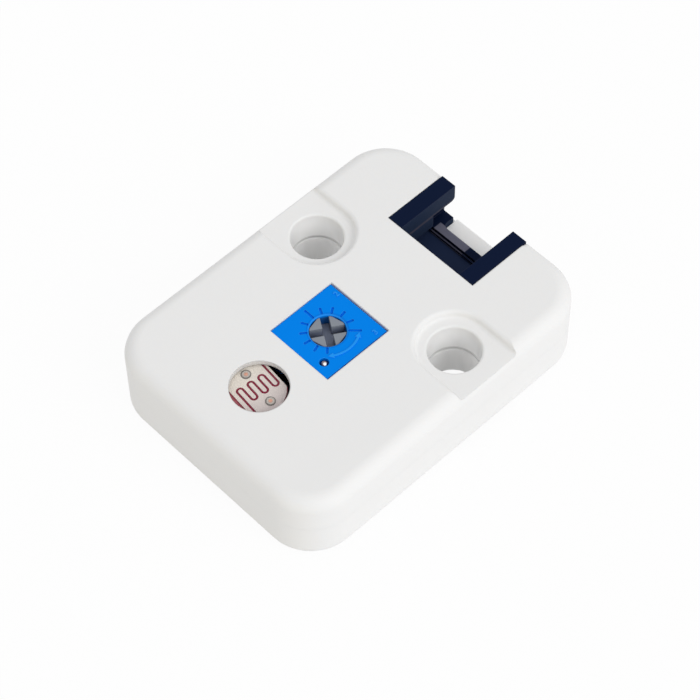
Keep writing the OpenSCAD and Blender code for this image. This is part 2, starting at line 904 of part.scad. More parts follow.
// Engraved marks round the opening, from one pin round to the other
module dial_marks() {
    for (i = [0:marks - 1]) {
        reach = mark_r[1] + (i > 0 && i % 5 == 0 ? mark_long : 0);
        rotate([0, 0, 180 + dial_angle*(1/2 - i/(marks - 1))]) translate([0, 0, case_top - mark_h])
            linear_extrude(mark_h + over) rounded_bar([mark_r[0], reach], mark_w);
    }
}

module case_feet() {
    for (x = [-1, 1], y = [-1, 1]) translate([x*(case_w - foot_w)/2, y*(case_l - foot_w)/2, 0])
        span([-foot_w/2, foot_w/2], [-foot_w/2, foot_w/2], [board_top, case_z + eps]);
}

module trimmer_rotor() {
    flat_r = stem_r - flat_in;
    color("gray") rotor_frame() difference() {
        union() {
            difference() {
                disc(flange_d/2, [wiper_top, flange_top]);
                ring_sector([stop_r - stop_gap, flange_d], [wiper_top - over, flange_top + over], 0,
                            travel + stop_w + 2*stop_play);
            }
            disc(stem_r, [wiper_top, face_z - flat_h]);
            intersection() {
                disc(stem_r, [face_z - flat_h, face_z]);
                rotate([0, 0, slot_turn + 45])
                    span([-flat_r, flat_r], [-flat_r, flat_r], [wiper_top, face_z + over]);
            }
        }
        rotate([0, 0, slot_turn]) for (turn = [0, 90]) rotate([0, 0, turn])
            span([-opening_d, opening_d], [-slot_w/2, slot_w/2], [face_z - slot_h, face_z + over]);
    }
}

// Sprung wiper under the rotor, reaching from the middle pin to the track
module trimmer_wiper() {
    touch = track_top + wiper_lift;
    reach = (track_r[0] + track_r[1])/2;
    color("gold") rotor_frame() {
        disc(wiper_r, [wiper_top - wiper_t, wiper_top]);
        span([-reach - wiper_end_r, 0], [-wiper_arm_w/2, wiper_arm_w/2], [wiper_top - wiper_t, wiper_top]);
        translate([-reach, 0, 0]) disc(wiper_end_r, [touch, wiper_top]);
        disc(wiper_hub_r, [touch, wiper_top]);
    }
}

module trimmer_element() {
    color("ivory") case_frame() difference() {
        case_block(case_wall, [case_z, element_top]);
        for (p = pin_places) translate(p) disc(lead_d/2, [0, body_h]);
    }
}

// Resistive track with a pad towards each outer pin
module trimmer_track() {
    z = [element_top, track_top];
    color("saddlebrown") rotor_frame() {
        ring_sector(track_r, z, 180, 360 - track_gap);
        for (side = [-1, 1]) rotate([0, 0, side*track_gap/2])
            span([track_r[0], pad_end], [-pad_w/2, pad_w/2], z);
    }
}

// Round pin; the first one runs up to the port in the case's face
module trimmer_pin(i) {
    top = [case_top - pin_sink - pin_end, track_top, element_top];
    color("silver") case_frame() translate(pin_places[i - 1]) {
        disc(lead_d/2, [board_z - tail_h, top[i - 1]]);
        if (i == 1) {
            disc(pin_head_d/2, [track_top, top[0]]);
            translate([0, 0, top[0]]) cylinder(r1 = pin_head_d/2, r2 = pin_head_d/2 - pin_end, h = pin_end);
        }
    }
}

module trimmer_pin_1() {
    trimmer_pin(1);
}

module trimmer_pin_2() {
    trimmer_pin(2);
}

module trimmer_pin_3() {
    trimmer_pin(3);
}

module trimmer_seal_ring() {
    color("black") rotor_frame() translate([0, 0, ring_z])
        rotate_extrude() translate([stem_r + ring_d/2 - ring_squeeze, 0]) circle(ring_d/2);
}

// Board parts

module comparator_chip() {
    top = board_top + chip_lift + chip_h;
    color("dimgray") translate([-part_x, case_y - chip_back, 0]) difference() {
        span([-chip_w/2, chip_w/2], [-chip_l/2, chip_l/2], [top - chip_h, top]);
        translate([dot_in - chip_w/2, chip_l/2 - dot_in, 0]) disc(dot_r, [top - dot_h, top + over]);
    }
}

// Eight gull-wing leads
module comparator_leads() {
    mid = board_top + chip_lift + chip_h/2;
    y = [-chip_lead_w/2, chip_lead_w/2];
    outer = chip_w/2 + chip_knee;
    inner = outer - chip_lead_t;
    color("silver") translate([-part_x, case_y - chip_back, 0])
        for (side = [0, 1], i = [0:3]) mirror([side, 0, 0]) translate([0, (i - 1.5)*chip_pitch, 0]) {
            span([chip_w/2, outer], y, [mid - chip_lead_t/2, mid + chip_lead_t/2]);
            span([inner, outer], y, [board_top, mid]);
            span([inner, chip_reach/2], y, [board_top, board_top + chip_lead_t]);
        }
}

// Small block with its ends soldered to the board
module chip_block(at, h) {
    translate([at[0], at[1], board_top]) translate([-block_l/2, -block_w/2, 0]) cube([block_l, block_w, h]);
}

module resistor(i) {
    color("black") chip_block([part_x, resistor_y - (i - 1)*resistor_pitch], resistor_h);
}

module capacitor(i) {
    side = i == 1 ? -1 : 1;
    color("tan") chip_block([side*capacitor_x, board_front - capacitor_back], capacitor_h);
}

module resistor_1() {
    resistor(1);
}

module resistor_2() {
    resistor(2);
}

module resistor_3() {
    resistor(3);
}

module resistor_4() {
    resistor(4);
}

module capacitor_1() {
    capacitor(1);
}

module capacitor_2() {
    capacitor(2);
}

top_housing();
bottom_housing();
housing_screw_left();
housing_screw_right();
circuit_board();
solder_joints();
connector_shell();
connector_contact_1();
connector_contact_2();
connector_contact_3();
connector_contact_4();
connector_anchor_left();
connector_anchor_right();
photocell_substrate();
photocell_film();
photocell_electrode_a();
photocell_electrode_b();
photocell_lead_a();
photocell_lead_b();
photocell_coat();
trimmer_housing();
trimmer_rotor();
trimmer_wiper();
trimmer_element();
trimmer_track();
trimmer_pin_1();
trimmer_pin_2();
trimmer_pin_3();
trimmer_seal_ring();
comparator_chip();
comparator_leads();
resistor_1();
resistor_2();
resistor_3();
resistor_4();
capacitor_1();
capacitor_2();
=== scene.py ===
"""Looks of a small clip-on light sensor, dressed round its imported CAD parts.

Lengths are in metres unless a name says otherwise, in the frame of the CAD model: +X runs across the
housing, +Y to the socket's mouth, and z = 0 is the underside.
"""

import logging
import math
from dataclasses import dataclass, field
from enum import Enum
from typing import Callable, Iterable, Mapping, Sequence

import bmesh
import bpy
from mathutils import Matrix, Vector


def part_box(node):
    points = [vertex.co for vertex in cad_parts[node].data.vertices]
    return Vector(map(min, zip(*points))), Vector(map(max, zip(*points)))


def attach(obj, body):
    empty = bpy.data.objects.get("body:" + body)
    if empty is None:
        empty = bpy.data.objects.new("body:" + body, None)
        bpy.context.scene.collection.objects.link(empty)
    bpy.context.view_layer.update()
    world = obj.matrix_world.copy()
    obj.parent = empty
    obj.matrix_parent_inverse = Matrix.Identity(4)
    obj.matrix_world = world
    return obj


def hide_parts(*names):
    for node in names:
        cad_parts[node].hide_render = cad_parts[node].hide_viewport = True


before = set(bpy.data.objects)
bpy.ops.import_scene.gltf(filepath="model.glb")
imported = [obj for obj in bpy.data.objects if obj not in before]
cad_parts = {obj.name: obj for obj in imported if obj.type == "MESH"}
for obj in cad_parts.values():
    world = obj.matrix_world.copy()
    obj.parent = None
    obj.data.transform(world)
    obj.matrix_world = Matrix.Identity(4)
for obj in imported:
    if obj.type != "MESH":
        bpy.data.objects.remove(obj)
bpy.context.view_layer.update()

LOG = logging.getLogger("light_sensor")
MM = 0.001
TURN = 2 * math.pi
TYPE_SHARE = 0.7  # height of a numeral as a share of its type size
Rgb = tuple[float, float, float]
Pair = tuple[float, float]
Link = bpy.types.NodeSocket
Material = bpy.types.Material
Piece = bpy.types.Object
WorkMesh = bmesh.types.BMesh
Reach = Callable[[float, int], float]


class Body(Enum):
    """CAD body that a piece rides on."""

    HOUSING = "housing"


class Slot(Enum):
    """Material slots of the record."""

    WHITE = "white_plastic"
    DARK = "dark_plastic"
    BLUE = "blue_plastic"
    GREY = "grey_plastic"
    EPOXY = "chip_epoxy"
    BOARD = "board_mask"
    CERAMIC = "ceramic"
    TAN = "tan_ceramic"
    FILM = "light_film"
    CARBON = "carbon_track"
    CELL_METAL = "cell_metal"
    LACQUER = "clear_lacquer"
    TIN = "tin_plate"
    ZINC = "zinc_steel"
    SOLDER = "solder"
    GOLD = "gold_plate"
    RUBBER = "black_rubber"


class Axis(Enum):
    """Direction in which a metal finish is brushed."""

    Y = 1
    Z = 2


# Node building


class Value:
    """A node socket whose Python operators add Math nodes."""

    def __init__(self, book: "NodeBook", socket: Link) -> None:
        """Wraps one output socket of the given node tree."""
        self.book = book
        self.socket = socket

    def join(self, operation: str, first: object, second: object = 0.0) -> "Value":
        """Adds one Math node.

        Args:
            operation: Name of the Math node's operation.
            first: Value or number for the first input.
            second: Value or number for the second input.

        Returns:
            The node's result.
        """
        node = self.book.add("ShaderNodeMath", {"operation": operation}, {0: first, 1: second})
        return Value(self.book, node.outputs[0])

    def __add__(self, other: object) -> "Value":
        """Sum."""
        return self.join("ADD", self, other)

    def __radd__(self, other: object) -> "Value":
        """Sum with the number on the left."""
        return self.join("ADD", other, self)

    def __sub__(self, other: object) -> "Value":
        """Difference."""
        return self.join("SUBTRACT", self, other)

    def __rsub__(self, other: object) -> "Value":
        """Difference with the number on the left."""
        return self.join("SUBTRACT", other, self)

    def __mul__(self, other: object) -> "Value":
        """Product."""
        return self.join("MULTIPLY", self, other)

    def __rmul__(self, other: object) -> "Value":
        """Product with the number on the left."""
        return self.join("MULTIPLY", other, self)

    def __truediv__(self, other: object) -> "Value":
        """Quotient."""
        return self.join("DIVIDE", self, other)

    def __rtruediv__(self, other: object) -> "Value":
        """Quotient with the number on the left."""
        return self.join("DIVIDE", other, self)

    def __mod__(self, other: object) -> "Value":
        """Remainder."""
        return self.join("MODULO", self, other)

    def __pow__(self, other: object) -> "Value":
        """Power."""
        return self.join("POWER", self, other)

    def __abs__(self) -> "Value":
        """Absolute value."""
        return self.join("ABSOLUTE", self)

    def least(self, other: object) -> "Value":
        """Smaller of this and another value."""
        return self.join("MINIMUM", self, other)

    def most(self, other: object) -> "Value":
        """Larger of this and another value."""
        return self.join("MAXIMUM", self, other)

    def wave(self, operation: str) -> "Value":
        """SINE or COSINE of this angle."""
        return self.join(operation, self)

    def step(self, low: float, high: float, smooth: bool = True) -> "Value":
        """Rises from 0 at low to 1 at high.

        Args:
            low: Where the result is 0.
            high: Where the result is 1; it may lie below low.
            smooth: Whether both ends are eased.

        Returns:
            The clamped result.
        """
        settings = {"interpolation_type": "SMOOTHSTEP" if smooth else "LINEAR"}
        sockets = {"Value": self, "From Min": low, "From Max": high}
        if low > high:
            sockets = {"Value": self, "From Min": high, "From Max": low, "To Min": 1.0, "To Max": 0.0}
        return Value(self.book, self.book.add("ShaderNodeMapRange", settings, sockets).outputs[0])

    def within(self, low: float, high: float, soft: float = 0.04 * MM) -> "Value":
        """1 between two limits, easing off over a soft band at each, and 0 outside."""
        return self.step(low - soft, low + soft) * self.step(high + soft, high - soft)


class NodeBook:
    """A node tree that is filled through one method."""

    def __init__(self, tree: bpy.types.NodeTree) -> None:
        """Keeps the tree."""
        self.tree = tree

    def add(
        self,
        kind: str,
        settings: Mapping[str, object] | None = None,
        sockets: Mapping[object, object] | None = None,
    ) -> bpy.types.Node:
        """Adds a node.

        Args:
            kind: Type name of the node.
            settings: Its properties, which are set first.
            sockets: Values or links of its inputs, by name or number.

        Returns:
            The new node.
        """
        node = self.tree.nodes.new(kind)
        for key, value in (settings or {}).items():
            setattr(node, key, value)
        for key, value in (sockets or {}).items():
            self.feed(node.inputs[key], value)
        return node

    def feed(self, socket: Link, value: object) -> None:
        """Links or sets one input.

        Args:
            socket: The input.
            value: A value, a link, a colour or a plain setting.
        """
        if isinstance(value, Value):
            value = value.socket
        if isinstance(value, Link):
            self.tree.links.new(value, socket)
        elif socket.type == "RGBA" and len(value) == 3:
            socket.default_value = (*value, 1.0)
        else:
            socket.default_value = value

    def split(self, vector: object) -> tuple[Value, Value, Value]:
        """Components of a vector socket."""
        node = self.add("ShaderNodeSeparateXYZ", sockets={0: vector})
        return tuple(Value(self, out) for out in node.outputs)

    def vector(self, x: object, y: object, z: object) -> Link:
        """Vector socket of three values."""
        return self.add("ShaderNodeCombineXYZ", sockets={0: x, 1: y, 2: z}).outputs[0]


class Shader(NodeBook):
    """Node tree of one material."""

    def __init__(self, name: str) -> None:
        """Makes an empty material.

        Args:
            name: Name of the material.
        """
        self.material = bpy.data.materials.new(name)
        self.material.use_nodes = True
        super().__init__(self.material.node_tree)
        self.tree.nodes.clear()
        self.place = self.add("ShaderNodeTexCoord").outputs["Object"]

    def noise(self, size: float, detail: float = 2.0, stretch: Sequence[float] = (1, 1, 1)) -> Value:
        """Noise on Object coordinates.

        Args:
            size: Width of one blotch in metres.
            detail: Octaves of finer noise.
            stretch: How much longer the blotches are along each axis.

        Returns:
            Noise between 0 and 1.
        """
        scale = tuple(1 / length for length in stretch)
        mapped = self.add("ShaderNodeMapping", sockets={"Vector": self.place, "Scale": scale})
        sockets = {"Vector": mapped.outputs[0], "Scale": 1 / size, "Detail": detail, "Roughness": 0.55}
        return Value(self, self.add("ShaderNodeTexNoise", sockets=sockets).outputs[0])

    def away(self, x: Value, y: Value) -> Value:
        """Distance from an upright axis, from the offsets along X and Y."""
        return (x * x + y * y) ** 0.5

    def cells(self, size: float) -> Value:
        """Distance to the nearest point of a cell pattern of that size."""
        sockets = {"Vector": self.place, "Scale": 1 / size}
        return Value(self, self.add("ShaderNodeTexVoronoi", sockets=sockets).outputs["Distance"])

    def mix(self, factor: object, low: object, high: object) -> Link:
        """Mixes two colours.

        Args:
            factor: 0 for the first colour and 1 for the second.
            low: First colour, as numbers or a link.
            high: Second colour.

        Returns:
            The mixed colour.
        """
        node = self.add("ShaderNodeMix", {"data_type": "RGBA"}, {0: factor, 6: low, 7: high})
        return node.outputs[2]

    def turn_to(self, factor: object, low: object, high: object) -> Link:
        """Normal between two normals, the first at factor 0."""
        return self.add("ShaderNodeMix", {"data_type": "VECTOR"}, {0: factor, 4: low, 5: high}).outputs[1]

    def soft_edges(self, radius: float) -> Link:
        """Normal that rounds sharp edges off over that radius."""
        return self.add("ShaderNodeBevel", {"samples": 6}, {"Radius": radius}).outputs[0]

    def edge_mask(self, rounded: Link) -> Value:
        """Finds the edges, where the rounded normal leaves the face's own.

        Args:
            rounded: Normal with rounded edges.

        Returns:
            1 along edges and 0 on the faces.
        """
        own = self.add("ShaderNodeNewGeometry").outputs["True Normal"]
        dot = self.add("ShaderNodeVectorMath", {"operation": "DOT_PRODUCT"}, {0: rounded, 1: own})
        return Value(self, dot.outputs["Value"]).step(0.995, 0.8)

    def creases(self, reach: float) -> Value:
        """Finds grooves and inner corners.

        Args:
            reach: How far off the walls round a point count.

        Returns:
            1 deep in them and 0 on open faces.
        """
        settings = {"samples": 8, "only_local": True}
        node = self.add("ShaderNodeAmbientOcclusion", settings, {"Distance": reach})
        return Value(self, node.outputs["AO"]).step(0.95, 0.45, smooth=False)

    def bump(self, height: Value, depth: float, normal: object = None) -> Link:
        """Normal of a relief.

        Args:
            height: Relief between 0 and 1.
            depth: Height of the relief in metres.
            normal: Normal that it starts from.

        Returns:
            The changed normal.
        """
        sockets = {"Strength": 1.0, "Distance": depth, "Height": height}
        if normal is not None:
            sockets["Normal"] = normal
        return self.add("ShaderNodeBump", sockets=sockets).outputs[0]

    def close(self, **sockets: object) -> Material:
        """Ends the tree in one Principled shader.

        Args:
            sockets: Its inputs, with underscores for spaces.

        Returns:
            The material.
        """
        fed = {key.replace("_", " "): value for key, value in sockets.items()}
        surface = self.add("ShaderNodeBsdfPrincipled", sockets=fed)
        self.add("ShaderNodeOutputMaterial", sockets={0: surface.outputs[0]})
        return self.material


# Finishes


@dataclass(frozen=True)
class MouldedPlastic:
    """Plastic with the fine grain of its mould and edges that catch the light."""

    name: str
    color: Rgb
    shade: Rgb
    roughness: float = 0.5
    gloss: float = 0.4
    grain: float = 0.14 * MM
    relief: float = 0.0016 * MM
    edge: float = 0.07 * MM
    glow: float = 0.0
    # Colour painted along the edges as a highlight, or None.
    edge_highlight: Rgb | None = None
    # Colour painted into grooves and inner corners as shade, or None.
    crease_shade: Rgb | None = None

    def build(self) -> Material:
        """Makes the material.

        Returns:
            The material.
        """
        s = Shader(self.name)
        flow = s.noise(5 * MM, 3.0, stretch=(1, 2.2, 1))
        grain = s.noise(self.grain, 3.0)
        rounded = self.rounding(s)
        color = self.tone(s, s.mix(0.55 * flow + 0.45 * grain, self.color, self.shade), rounded)
        return s.close(
            Base_Color=color,
            Roughness=self.roughness + 0.12 * (grain - 0.5) + 0.06 * (flow - 0.5),
            Specular_IOR_Level=self.gloss,
            Coat_Weight=self.polish(s),
            Coat_Roughness=0.2,
            Subsurface_Weight=self.glow,
            Subsurface_Radius=(0.5, 0.45, 0.4),
            Subsurface_Scale=0.6 * MM,
            Normal=s.bump(grain, self.relief, rounded),
        )

    def rounding(self, s: Shader) -> Link:
        """Normal with rounded edges."""
        return s.soft_edges(self.edge)

    def polish(self, _s: Shader) -> Value | float:
        """How much the surface is polished, from 0 to 1."""
        return 0.0

    def tone(self, s: Shader, color: Link, rounded: Link) -> Link:
        """Adds painted highlights along the edges and painted shade in the creases.

        Args:
            s: Shader that is being built.
            color: Colour of the open faces.
            rounded: Normal with rounded edges.

        Returns:
            The colour.
        """
        if self.edge_highlight:
            # Painted highlight along the edges.
            color = s.mix(0.8 * s.edge_mask(rounded), color, self.edge_highlight)
        if self.crease_shade:
            # Painted shade in the creases.
            color = s.mix(s.creases(4 * self.edge), color, self.crease_shade)
        return color


@dataclass(frozen=True)
class SocketPlastic(MouldedPlastic):
    """Moulded plastic with painted sheen on the inner sides and a paler front edge to the socket's floor.
    """

    # Across the floor, the paler bar and the painted step highlight lie within these limits.
    front_floor_x: Pair = (-3.8 * MM, -0.18 * MM)
    bar_y: Pair = (13.55 * MM, 14.4 * MM)
    step_y: Pair = (13.18 * MM, 13.38 * MM)
    sunk_y: Pair = (10.0 * MM, 13.12 * MM)
    floor_z: Pair = (2.8 * MM, 3.3 * MM)
    arm_z: Pair = (5.6 * MM, 5.9 * MM)
    inner_x: Pair = (3.5 * MM, 3.45 * MM)
    # Paler colour of the floor's front bar.
    pale: Rgb = (0.155, 0.156, 0.212)
    # Painted highlight along the arms' lower inner edges and the floor's step.
    faint_highlight: Rgb = (0.055, 0.054, 0.08)
    sunk: Rgb = (0.017, 0.029, 0.073)
    # Painted sheen on the inner sides.
    side: Rgb = (0.016, 0.027, 0.058)

    def tone(self, s: Shader, color: Link, rounded: Link) -> Link:
        """Adds painted sheen and highlights inside and on the step, and the paler bar, under the edge
        highlights.

        Args:
            s: Shader that is being built.
            color: Colour of the open faces.
            rounded: Normal with rounded edges.

        Returns:
            The colour.
        """
        x, y, z = s.split(s.place)
        across, _, up = s.split(s.add("ShaderNodeNewGeometry").outputs["True Normal"])
        # Patchy noise that breaks up the painted sheen and highlights and the paler bar.
        patchiness = (0.7 + 0.6 * s.noise(0.25 * MM, 3.0, stretch=(3, 1, 1))).least(1.0)
        inner = abs(across).step(0.5, 0.9) * abs(x).step(*self.inner_x)
        floor = up.step(0.5, 0.9) * z.within(*self.floor_z)
        # Front part of the floor that holds the painted step highlight and the paler bar.
        front_floor = floor * x.within(*self.front_floor_x) * patchiness
        color = s.mix(floor * y.within(*self.sunk_y), color, self.sunk)
        # Painted sheen on the inner sides.
        color = s.mix(inner * patchiness, color, self.side)
        # Painted highlight along the arms' lower inner edges.
        color = s.mix(inner * patchiness * z.within(*self.arm_z), color, self.faint_highlight)
        # Painted highlight along the floor's step.
        color = s.mix(front_floor * y.within(*self.step_y), color, self.faint_highlight)
        # Paler patch on the floor's front bar.
        color = s.mix(front_floor * y.within(*self.bar_y), color, self.pale)
        return super().tone(s, color, rounded)


@dataclass(frozen=True)
class HousingPlastic(MouldedPlastic):
    """White moulded plastic, glossy in its pin holes, with painted light, shade and warm reflection."""

    holes: Pair = (8.0 * MM, 4.0 * MM)
    hole_reach: Pair = (2.36 * MM, 2.28 * MM)
    parting_z: Pair = (3.76 * MM, 4.08 * MM)
    wide_z: Pair = (4.2 * MM, 4.8 * MM)
    # Heights over which the hole walls are glossy and get painted light.
    glossy_lit_z: Pair = (7.1 * MM, 5.2 * MM)
    lip_x: Pair = (3.5 * MM, 3.4 * MM)
    lip_y: Pair = (14.45 * MM, 14.5 * MM)
    lip_z: Pair = (4.0 * MM, 3.95 * MM)
    window_y: float = -9.9 * MM
    window_reach: Pair = (2.5 * MM, 2.47 * MM)
    # Painted light: white that lifts the lower hole walls and the lip under the socket's mouth.
    painted_light: Rgb = (0.99, 0.987, 0.98)
    # Painted shade along the parting line in the pin holes.
    shaded: Rgb = (0.8, 0.795, 0.785)
    # Painted shade round the window's rim.
    window_shade: Rgb = (0.7, 0.69, 0.675)
    # Painted warm reflection on the end wall.
    warm_reflection: Rgb = (0.862, 0.852, 0.825)
    tight_edge: float = 0.04 * MM

    def in_holes(self, s: Shader) -> Value:
        """Whether a point is in one of the pin holes, from 0 to 1."""
        x, y, _ = s.split(s.place)
        return s.away(abs(x) - self.holes[0], y - self.holes[1]).step(*self.hole_reach)

    def rounding(self, s: Shader) -> Link:
        """Normal with rounded edges, which stay tight on the outer walls' lower part."""
        wide = s.split(s.place)[2].step(*self.wide_z).most(self.in_holes(s))
        return s.turn_to(wide, s.soft_edges(self.tight_edge), s.soft_edges(self.edge))

    def polish(self, s: Shader) -> Value | float:
        """How glossy the walls of the pin holes are, from 0 to 1; the same mask places their painted light.
        """
        return self.in_holes(s) * s.split(s.place)[2].step(*self.glossy_lit_z)

    def tone(self, s: Shader, color: Link, rounded: Link) -> Link:
        """Adds painted light, painted shade at the parting line and the window, and a painted warm
        reflection.

        Args:
            s: Shader that is being built.
            color: Colour of the open faces.
            rounded: Normal with rounded edges.

        Returns:
            The colour.
        """
        x, y, z = s.split(s.place)
        along = s.split(s.add("ShaderNodeNewGeometry").outputs["True Normal"])[1]
        lip = y.step(*self.lip_y) * z.step(*self.lip_z) * abs(x).step(*self.lip_x)
        window = s.away(x, y - self.window_y).step(*self.window_reach)
        # Painted warm reflection on the end wall.
        color = s.mix(along.step(-0.4, -0.95), color, self.warm_reflection)
        # Painted shade round the window.
        color = s.mix(window, color, self.window_shade)
        # Painted light on the lower hole walls and on the lip.
        color = s.mix(self.polish(s).most(lip), color, self.painted_light)
        # Painted shade along the parting line in the holes.
        color = s.mix(self.in_holes(s) * z.within(*self.parting_z), color, self.shaded)
        return super().tone(s, color, rounded)


@dataclass(frozen=True)
class AdjusterPlastic(MouldedPlastic):
    """Blue moulded plastic with engraved marks, and painted shade and highlights round its opening."""

    axis: Pair = (-0.18 * MM, -2.22 * MM)
    face_z: float = 7.4 * MM
    opening: Pair = (1.63 * MM, 1.6 * MM)
    rim: Pair = (1.53 * MM, 1.63 * MM)
    ring_shadow: Pair = (1.63 * MM, 1.77 * MM)
    marked: Pair = (1.61 * MM, 1.65 * MM)
    mark_depth: Pair = (0.05 * MM, 0.2 * MM)
    face_depth: Pair = (0.16 * MM, 0.08 * MM)
    # Depths below the face over which the opening's walls get painted shade.
    opening_shade_depth: Pair = (0.22 * MM, 0.42 * MM)
    # Painted shade on the opening's walls.
    opening_shade: Rgb = (0.014, 0.1, 0.34)
    # Painted highlight on the rim round the opening.
    light: Rgb = (0.05, 0.38, 1.0)
    shadow: Rgb = (0.0, 0.13, 0.62)
    # Painted shade on the floors of the engraved marks.
    mark_shade: Rgb = (0.0, 0.2, 0.86)
    faint: float = 0.4
    soft: float = 0.02 * MM

    def tone(self, s: Shader, color: Link, rounded: Link) -> Link:
        """Adds painted shade in the marks, outside the rim and in the opening, and a painted rim highlight.

        Args:
            s: Shader that is being built.
            color: Colour of the open faces.
            rounded: Normal with rounded edges.

        Returns:
            The colour.
        """
        x, y, z = s.split(s.place)
        away = s.away(x - self.axis[0], y - self.axis[1])
        below = self.face_z - z
        top = below.step(*self.face_depth)
        marks = away.step(*self.marked) * below.within(*self.mark_depth, self.soft)
        # Painted shade on the marks' floors.
        color = s.mix(marks, super().tone(s, color, rounded), self.mark_shade)
        color = s.mix(self.faint * away.within(*self.ring_shadow) * top, color, self.shadow)
        # Painted highlight on the rim.
        color = s.mix(self.faint * away.within(*self.rim, self.soft) * top, color, self.light)
        # Painted shade on the opening's walls below the face.
        return s.mix(away.step(*self.opening) * below.step(*self.opening_shade_depth), color, self.opening_shade)


@dataclass(frozen=True)
class RotorPlastic(MouldedPlastic):
    """Grey moulded plastic with painted shade in its screwdriver slots."""

    face_z: float = 7.25 * MM
    slot_shade_depth: Pair = (0.1 * MM, 0.6 * MM)
    # Painted shade in the slots.
    slot_shade: Rgb = (0.19, 0.215, 0.285)

    def tone(self, s: Shader, color: Link, rounded: Link) -> Link:
        """Adds patchy painted shade below the face.

        Args:
            s: Shader that is being built.
            color: Colour of the open faces.
            rounded: Normal with rounded edges.

        Returns:
            The colour.
        """
        below = self.face_z - s.split(s.place)[2]
        patches = (0.75 + 0.5 * s.noise(0.3 * MM, 3.0)).least(1.0)
        # Patchy painted shade in the slots below the face.
        color = s.mix(patches * below.step(*self.slot_shade_depth), color, self.slot_shade)
        return super().tone(s, color, rounded)


@dataclass(frozen=True)
class Plating:
    """Thin bright metal with fine brush marks and a little tarnish."""

    name: str
    color: Rgb
    tarnish: Rgb
    roughness: float = 0.28
    brushed: Axis = Axis.Z
    relief: float = 0.0008 * MM
    edge: float = 0.03 * MM

    def build(self) -> Material:
        """Makes the material.

        Returns:
            The material.
        """
        s = Shader(self.name)
        stretch = tuple(14.0 if axis == self.brushed.value else 1.0 for axis in range(3))
        brush = s.noise(0.05 * MM, 2.0, stretch=stretch)
        blotch = s.noise(0.9 * MM, 4.0)
        color = s.mix(blotch.step(0.45, 0.8), self.color, self.tarnish)
        return s.close(
            Base_Color=self.tone(s, color),
            Metallic=1.0,
            Roughness=self.roughness + 0.16 * (brush - 0.5) + 0.18 * blotch.step(0.5, 0.8),
            Normal=s.bump(brush, self.relief, s.soft_edges(self.edge)),
        )

    def tone(self, _s: Shader, color: Link) -> Link:
        """Colour of the metal, the same all over."""
        return color


@dataclass(frozen=True)
class PinEnd(Plating):
    """Tin that is dull and brownish on the cut end of a pin, with a painted highlight at one place."""

    end_z: Pair = (7.05 * MM, 7.15 * MM)
    # Middle of the painted highlight on the pin's end.
    spot: Pair = (1.98 * MM, -4.6 * MM)
    pin_highlight_reach: Pair = (0.18 * MM, 0.1 * MM)
    dull: Rgb = (0.28, 0.23, 0.245)
    dark: Rgb = (0.15, 0.115, 0.13)
    # Painted highlight.
    pin_highlight: Rgb = (0.97, 0.95, 0.95)

    def tone(self, s: Shader, color: Link) -> Link:
        """Adds the dull end with its painted highlight.

        Args:
            s: Shader that is being built.
            color: Colour of the rest of the pin.

        Returns:
            The colour.
        """
        x, y, z = s.split(s.place)
        spot = s.away(x - self.spot[0], y - self.spot[1]).step(*self.pin_highlight_reach)
        dull = s.mix(s.noise(0.12 * MM, 2.0), self.dull, self.dark)
        # The painted highlight sits at one place on the dull end.
        return s.mix(z.step(*self.end_z), color, s.mix(spot, dull, self.pin_highlight))


@dataclass(frozen=True)
class SolderedMetal:
    """Solder that froze with a slightly uneven skin."""

    name: str
    color: Rgb = (0.62, 0.63, 0.65)
    frosted: Rgb = (0.38, 0.38, 0.4)

    def build(self) -> Material:
        """Makes the material.

        Returns:
            The material.
        """
        s = Shader(self.name)
        skin = s.noise(0.22 * MM, 3.0)
        frost = s.cells(0.06 * MM)
        return s.close(
            Base_Color=s.mix(0.5 * skin + 0.3 * frost, self.color, self.frosted),
            Metallic=1.0,
            Roughness=0.22 + 0.25 * skin,
            Normal=s.bump(skin, 0.006 * MM),
        )


@dataclass(frozen=True)
class BoardLaminate:
    """Dark solder mask over woven glass cloth."""

    name: str
    color: Rgb = (0.034, 0.027, 0.036)
    pale: Rgb = (0.07, 0.054, 0.072)
    thread: float = 0.42 * MM

    def build(self) -> Material:
        """Makes the material.

        Returns:
            The material.
        """
        s = Shader(self.name)
        x, y, _ = s.split(s.place)
        pace = TURN / self.thread
        weave = 0.25 * ((x * pace).wave("SINE") * (y * pace).wave("SINE")) + 0.5
        blotch = s.noise(1.6 * MM, 4.0)
        color = s.mix(0.5 * weave + 0.5 * blotch, self.color, self.pale)
        return s.close(
            Base_Color=color,
            Roughness=0.3 + 0.15 * blotch,
            Coat_Weight=0.4,
            Coat_Roughness=0.12,
            Normal=s.bump(weave, 0.004 * MM, s.soft_edges(0.05 * MM)),
        )


@dataclass(frozen=True)
class FiredCeramic:
    """Fine-grained fired ceramic with darker specks."""

    name: str
    color: Rgb
    speck: Rgb

    def build(self) -> Material:
        """Makes the material.

        Returns:
            The material.
        """
        s = Shader(self.name)
        grain = s.noise(0.05 * MM, 3.0)
        specks = s.noise(0.16 * MM, 2.0).step(0.6, 0.75)
        color = s.mix(0.6 * specks + 0.2 * grain, self.color, self.speck)
        return s.close(
            Base_Color=color,
            Roughness=0.6 + 0.2 * (grain - 0.5),
            Normal=s.bump(grain, 0.0025 * MM, s.soft_edges(0.05 * MM)),
        )


